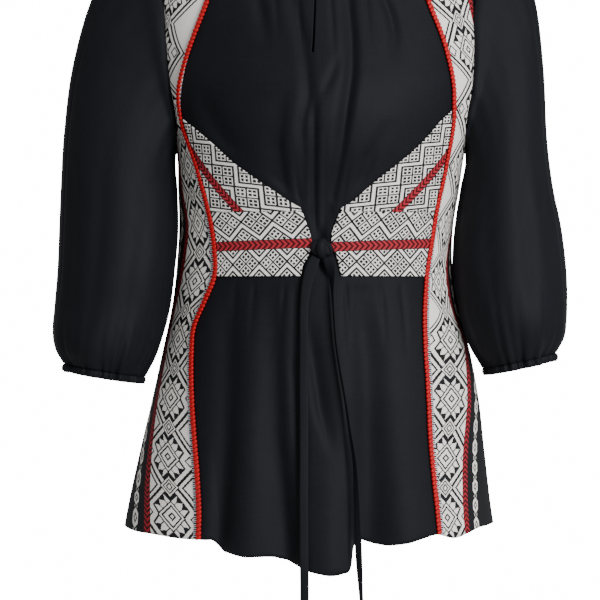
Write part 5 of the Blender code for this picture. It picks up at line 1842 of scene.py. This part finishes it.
def one_rib():
    """Points and faces of one rib: a ball pressed to the rib's size, then filled out and slanted."""
    bpy.ops.mesh.primitive_uv_sphere_add(segments=12, ring_count=8, radius=1.0, location=(0, 0, 0))
    ball = bpy.context.object
    bpy.ops.object.mode_set(mode="EDIT")
    bpy.ops.mesh.select_all(action="SELECT")
    bpy.ops.transform.resize(value=RIB_HALF, center_override=(0, 0, 0))
    bpy.ops.object.mode_set(mode="OBJECT")
    shares = np.array([v.co[:] for v in ball.data.vertices]) / np.array(RIB_HALF)
    points = np.sign(shares) * np.abs(shares) ** np.array(RIB_FULLNESS) * np.array(RIB_HALF)
    points[:, 1] += points[:, 0] * RIB_SLANT
    faces = [tuple(p.vertices) for p in ball.data.polygons]
    bpy.data.objects.remove(ball, do_unlink=True)
    return points, faces


RIB_POINTS, RIB_FACES = one_rib()


def seam_frames(side):
    """Evenly spaced places up the corded seam, with along, across and outward directions."""
    line = princess_line(side)
    angles = finer([a for a, _ in line], 12, 0)
    heights = finer([h for _, h in line], 12, 0)
    points, normals = cloth_points(angles, heights)
    run = steps_along(points[:, None], 0)[:, 0]

    def sample(values, distance):
        return np.stack([np.interp(distance, run, values[:, k]) for k in range(3)], axis=-1)

    def at(distance):
        along = unit(sample(points, distance + 0.002) - sample(points, distance - 0.002))
        face = unit(sample(normals, distance))
        face = unit(face - along * np.sum(face * along, axis=-1, keepdims=True))
        return sample(points, distance), along, np.cross(along, face), face

    return at, float(run[-1])


def joined(name, parts, finish, slot, *nodes):
    """One piece from many small closed forms."""
    faces = []
    start = 0
    for points, some in parts:
        faces += [[start + v for v in face] for face in some]
        start += len(points)
    return add_piece(name, np.concatenate([p for p, _ in parts]), faces, finish, slot, *nodes)


def tube(centres, across, face, wide, high, sides):
    """Points and faces of a closed tube along a line, with its own width and height."""
    around = np.arange(sides) * 2 * math.pi / sides
    return closed_tube(
        centres[:, None]
        + across[:, None] * (wide / 2 * np.cos(around))[None, :, None]
        + face[:, None] * (high / 2 * np.sin(around))[None, :, None]
    )


def make_cord(suffix, side):
    """The wound cord on one seam: ribs over a core."""
    at, length = seam_frames(side)
    count = int(length / RIB_PITCH)
    spots = (np.arange(count) + 0.5) * length / count
    place, along, across, face = at(spots)
    rise = CLOTH / 2 + TRIM_LIFT * 0.6 + TRIM_HEIGHT / 2
    rng = np.random.default_rng(7 + side)
    parts = []
    for k in range(count):
        local = RIB_POINTS * (1 + rng.normal(0, 0.025))
        points = place[k] + face[k] * rise + local @ np.stack([across[k], along[k], face[k]])
        parts.append((points, RIB_FACES))
    if np.linalg.det(np.stack([across[0], along[0], face[0]])) < 0:
        parts = [(p, [f[::-1] for f in some]) for p, some in parts]
    ribs = joined("red_cord_" + suffix, parts, RED_YARN, "red_cord", "cord_trim_" + suffix)
    place, along, across, face = at(np.linspace(0.001, length - 0.001, 170))
    core = tube(place + face * rise, across, face, CORE_WIDTH, CORE_HEIGHT, 8)
    joined("cord_core_" + suffix, [core], RED_CORE, "red_cord")
    print(ribs.name, "has", count, "ribs over", round(length, 3), "m")


make_cord("left", -1)
make_cord("right", 1)

# %% [markdown]
# ## Stitched edge beside the cord
#
# The side panel's raw edge is closed with short pale threads that cross the seam, close together, like
# a satin stitch. Each one is a small bent thread, 4.4 mm long, and they are 2.1 mm apart.

# %% Edge stitches
THREAD_PITCH = 0.0021
THREAD_LONG = 0.0044
THREAD_START = 0.0027
THREAD_WIDTH = 0.0010
THREAD_HEIGHT = 0.0007
THREAD_POINTS = 5


def pale_thread(name):
    """Mercerised cotton thread: pale, slightly blue, with a soft shine."""
    finish, tree, shader = new_finish(name)
    where = add_node(tree, "ShaderNodeTexCoord").outputs["Object"]
    fibres = {"Vector": where, "Scale": 500.0, "Detail": 2.0}
    noise = add_node(tree, "ShaderNodeTexNoise", fibres).outputs["Fac"]
    base = mixed(tree, noise, colour("#b9bec8"), colour("#e9ebee"))
    relief = {"Height": noise, "Strength": 0.3, "Distance": 0.0002}
    give_surface(tree, shader, base, relief, {"Roughness": 0.5})
    return finish


PALE_THREAD = pale_thread("pale mercerised thread")


def make_edge_stitches(suffix, side, points, normals):
    """Short threads across the side panel's edge, one after the other up the seam."""
    edge = points[:, 0]
    run = steps_along(edge[:, None], 0)[:, 0]
    count = int(run[-1] / THREAD_PITCH)
    spots = (np.arange(count) + 0.5) * run[-1] / count
    inward = unit(points[:, 3] - points[:, 0])
    rng = np.random.default_rng(21 + side)
    parts = []
    for spot in spots:
        base, over, out = (
            np.array([np.interp(spot, run, values[:, k]) for k in range(3)])
            for values in (edge, inward, normals[:, 0])
        )
        over = unit(over)
        out = unit(out - over * np.dot(out, over))
        along = np.cross(over, out)
        tilt = rng.normal(0, 0.05)
        shares = np.linspace(0, 1, THREAD_POINTS)
        reach = THREAD_START + THREAD_LONG * (1 + rng.normal(0, 0.04)) * shares
        hump = np.sin(np.pi * shares) * 0.00045 + 0.00035
        places = (
            base
            + over * reach[:, None]
            + out * (CLOTH / 2 + hump)[:, None]
            + along * (reach * tilt)[:, None]
        )
        wide = np.repeat(along[None], THREAD_POINTS, axis=0)
        face = np.repeat(out[None], THREAD_POINTS, axis=0)
        parts.append(tube(places, wide, face, THREAD_WIDTH, THREAD_HEIGHT, 6))
    piece = joined("edge_stitches_" + suffix, parts, PALE_THREAD, "woven_cloth")
    print(piece.name, "threads:", count)


make_edge_stitches("left", -1, side_left_points, side_left_normals)
make_edge_stitches("right", 1, side_right_points, side_right_normals)

# %% [markdown]
# ## Floor and light
#
# The garment hangs over a plain white floor, in front of nothing: a white world gives the even light of
# a white studio, and one large soft lamp at the right front shapes the folds.

# %% Floor
FLOOR_Z = -0.86
bpy.ops.mesh.primitive_circle_add(
    vertices=96, radius=0.62, fill_type="NGON", location=(0.0, 0.0, FLOOR_Z))
floor = bpy.context.object
floor.name = "studio_floor"
floor_finish, _, floor_shader = new_finish("white studio floor")
floor_shader.inputs["Base Color"].default_value = colour("#f6f6f6")
floor_shader.inputs["Roughness"].default_value = 0.9
floor.data.materials.append(floor_finish)
bpy.ops.object.select_all(action="DESELECT")
print("floor at", round(floor.location.z, 2), "m")

# %% Lights
PURE_WHITE = (1.0, 1.0, 1.0, 1.0)
STUDIO_LIGHT = 0.52
STUDIO_SEEN = 16.0

world = bpy.data.worlds.new("white studio")
world.use_nodes = True
tree = world.node_tree
soft = tree.nodes["Background"]
soft.inputs["Color"].default_value = PURE_WHITE
soft.inputs["Strength"].default_value = STUDIO_LIGHT
sweep = add_node(tree, "ShaderNodeBackground", {"Color": PURE_WHITE, "Strength": STUDIO_SEEN})
seen = add_node(tree, "ShaderNodeLightPath").outputs["Is Camera Ray"]
parts = {0: seen, 1: soft.outputs[0], 2: sweep.outputs[0]}
studio = add_node(tree, "ShaderNodeMixShader", parts)
tree.links.new(studio.outputs[0], tree.nodes["World Output"].inputs["Surface"])
bpy.context.scene.world = world


def soft_lamp(name, place, aim, size, power):
    """A square soft lamp that points at a place."""
    data = bpy.data.lights.new(name, "AREA")
    data.size = size
    data.energy = power
    lamp = bpy.data.objects.new(name, data)
    lamp.location = place
    away = np.array(place) - np.array(aim)
    lamp.rotation_euler = (
        math.atan2(math.hypot(away[0], away[1]), away[2]), 0.0, math.atan2(away[0], -away[1]))
    bpy.context.collection.objects.link(lamp)


soft_lamp("key lamp", (1.3, -2.1, 0.35), (0.0, 0.0, -0.45), 1.1, 105.0)
print("lamps: one key lamp in a white world")
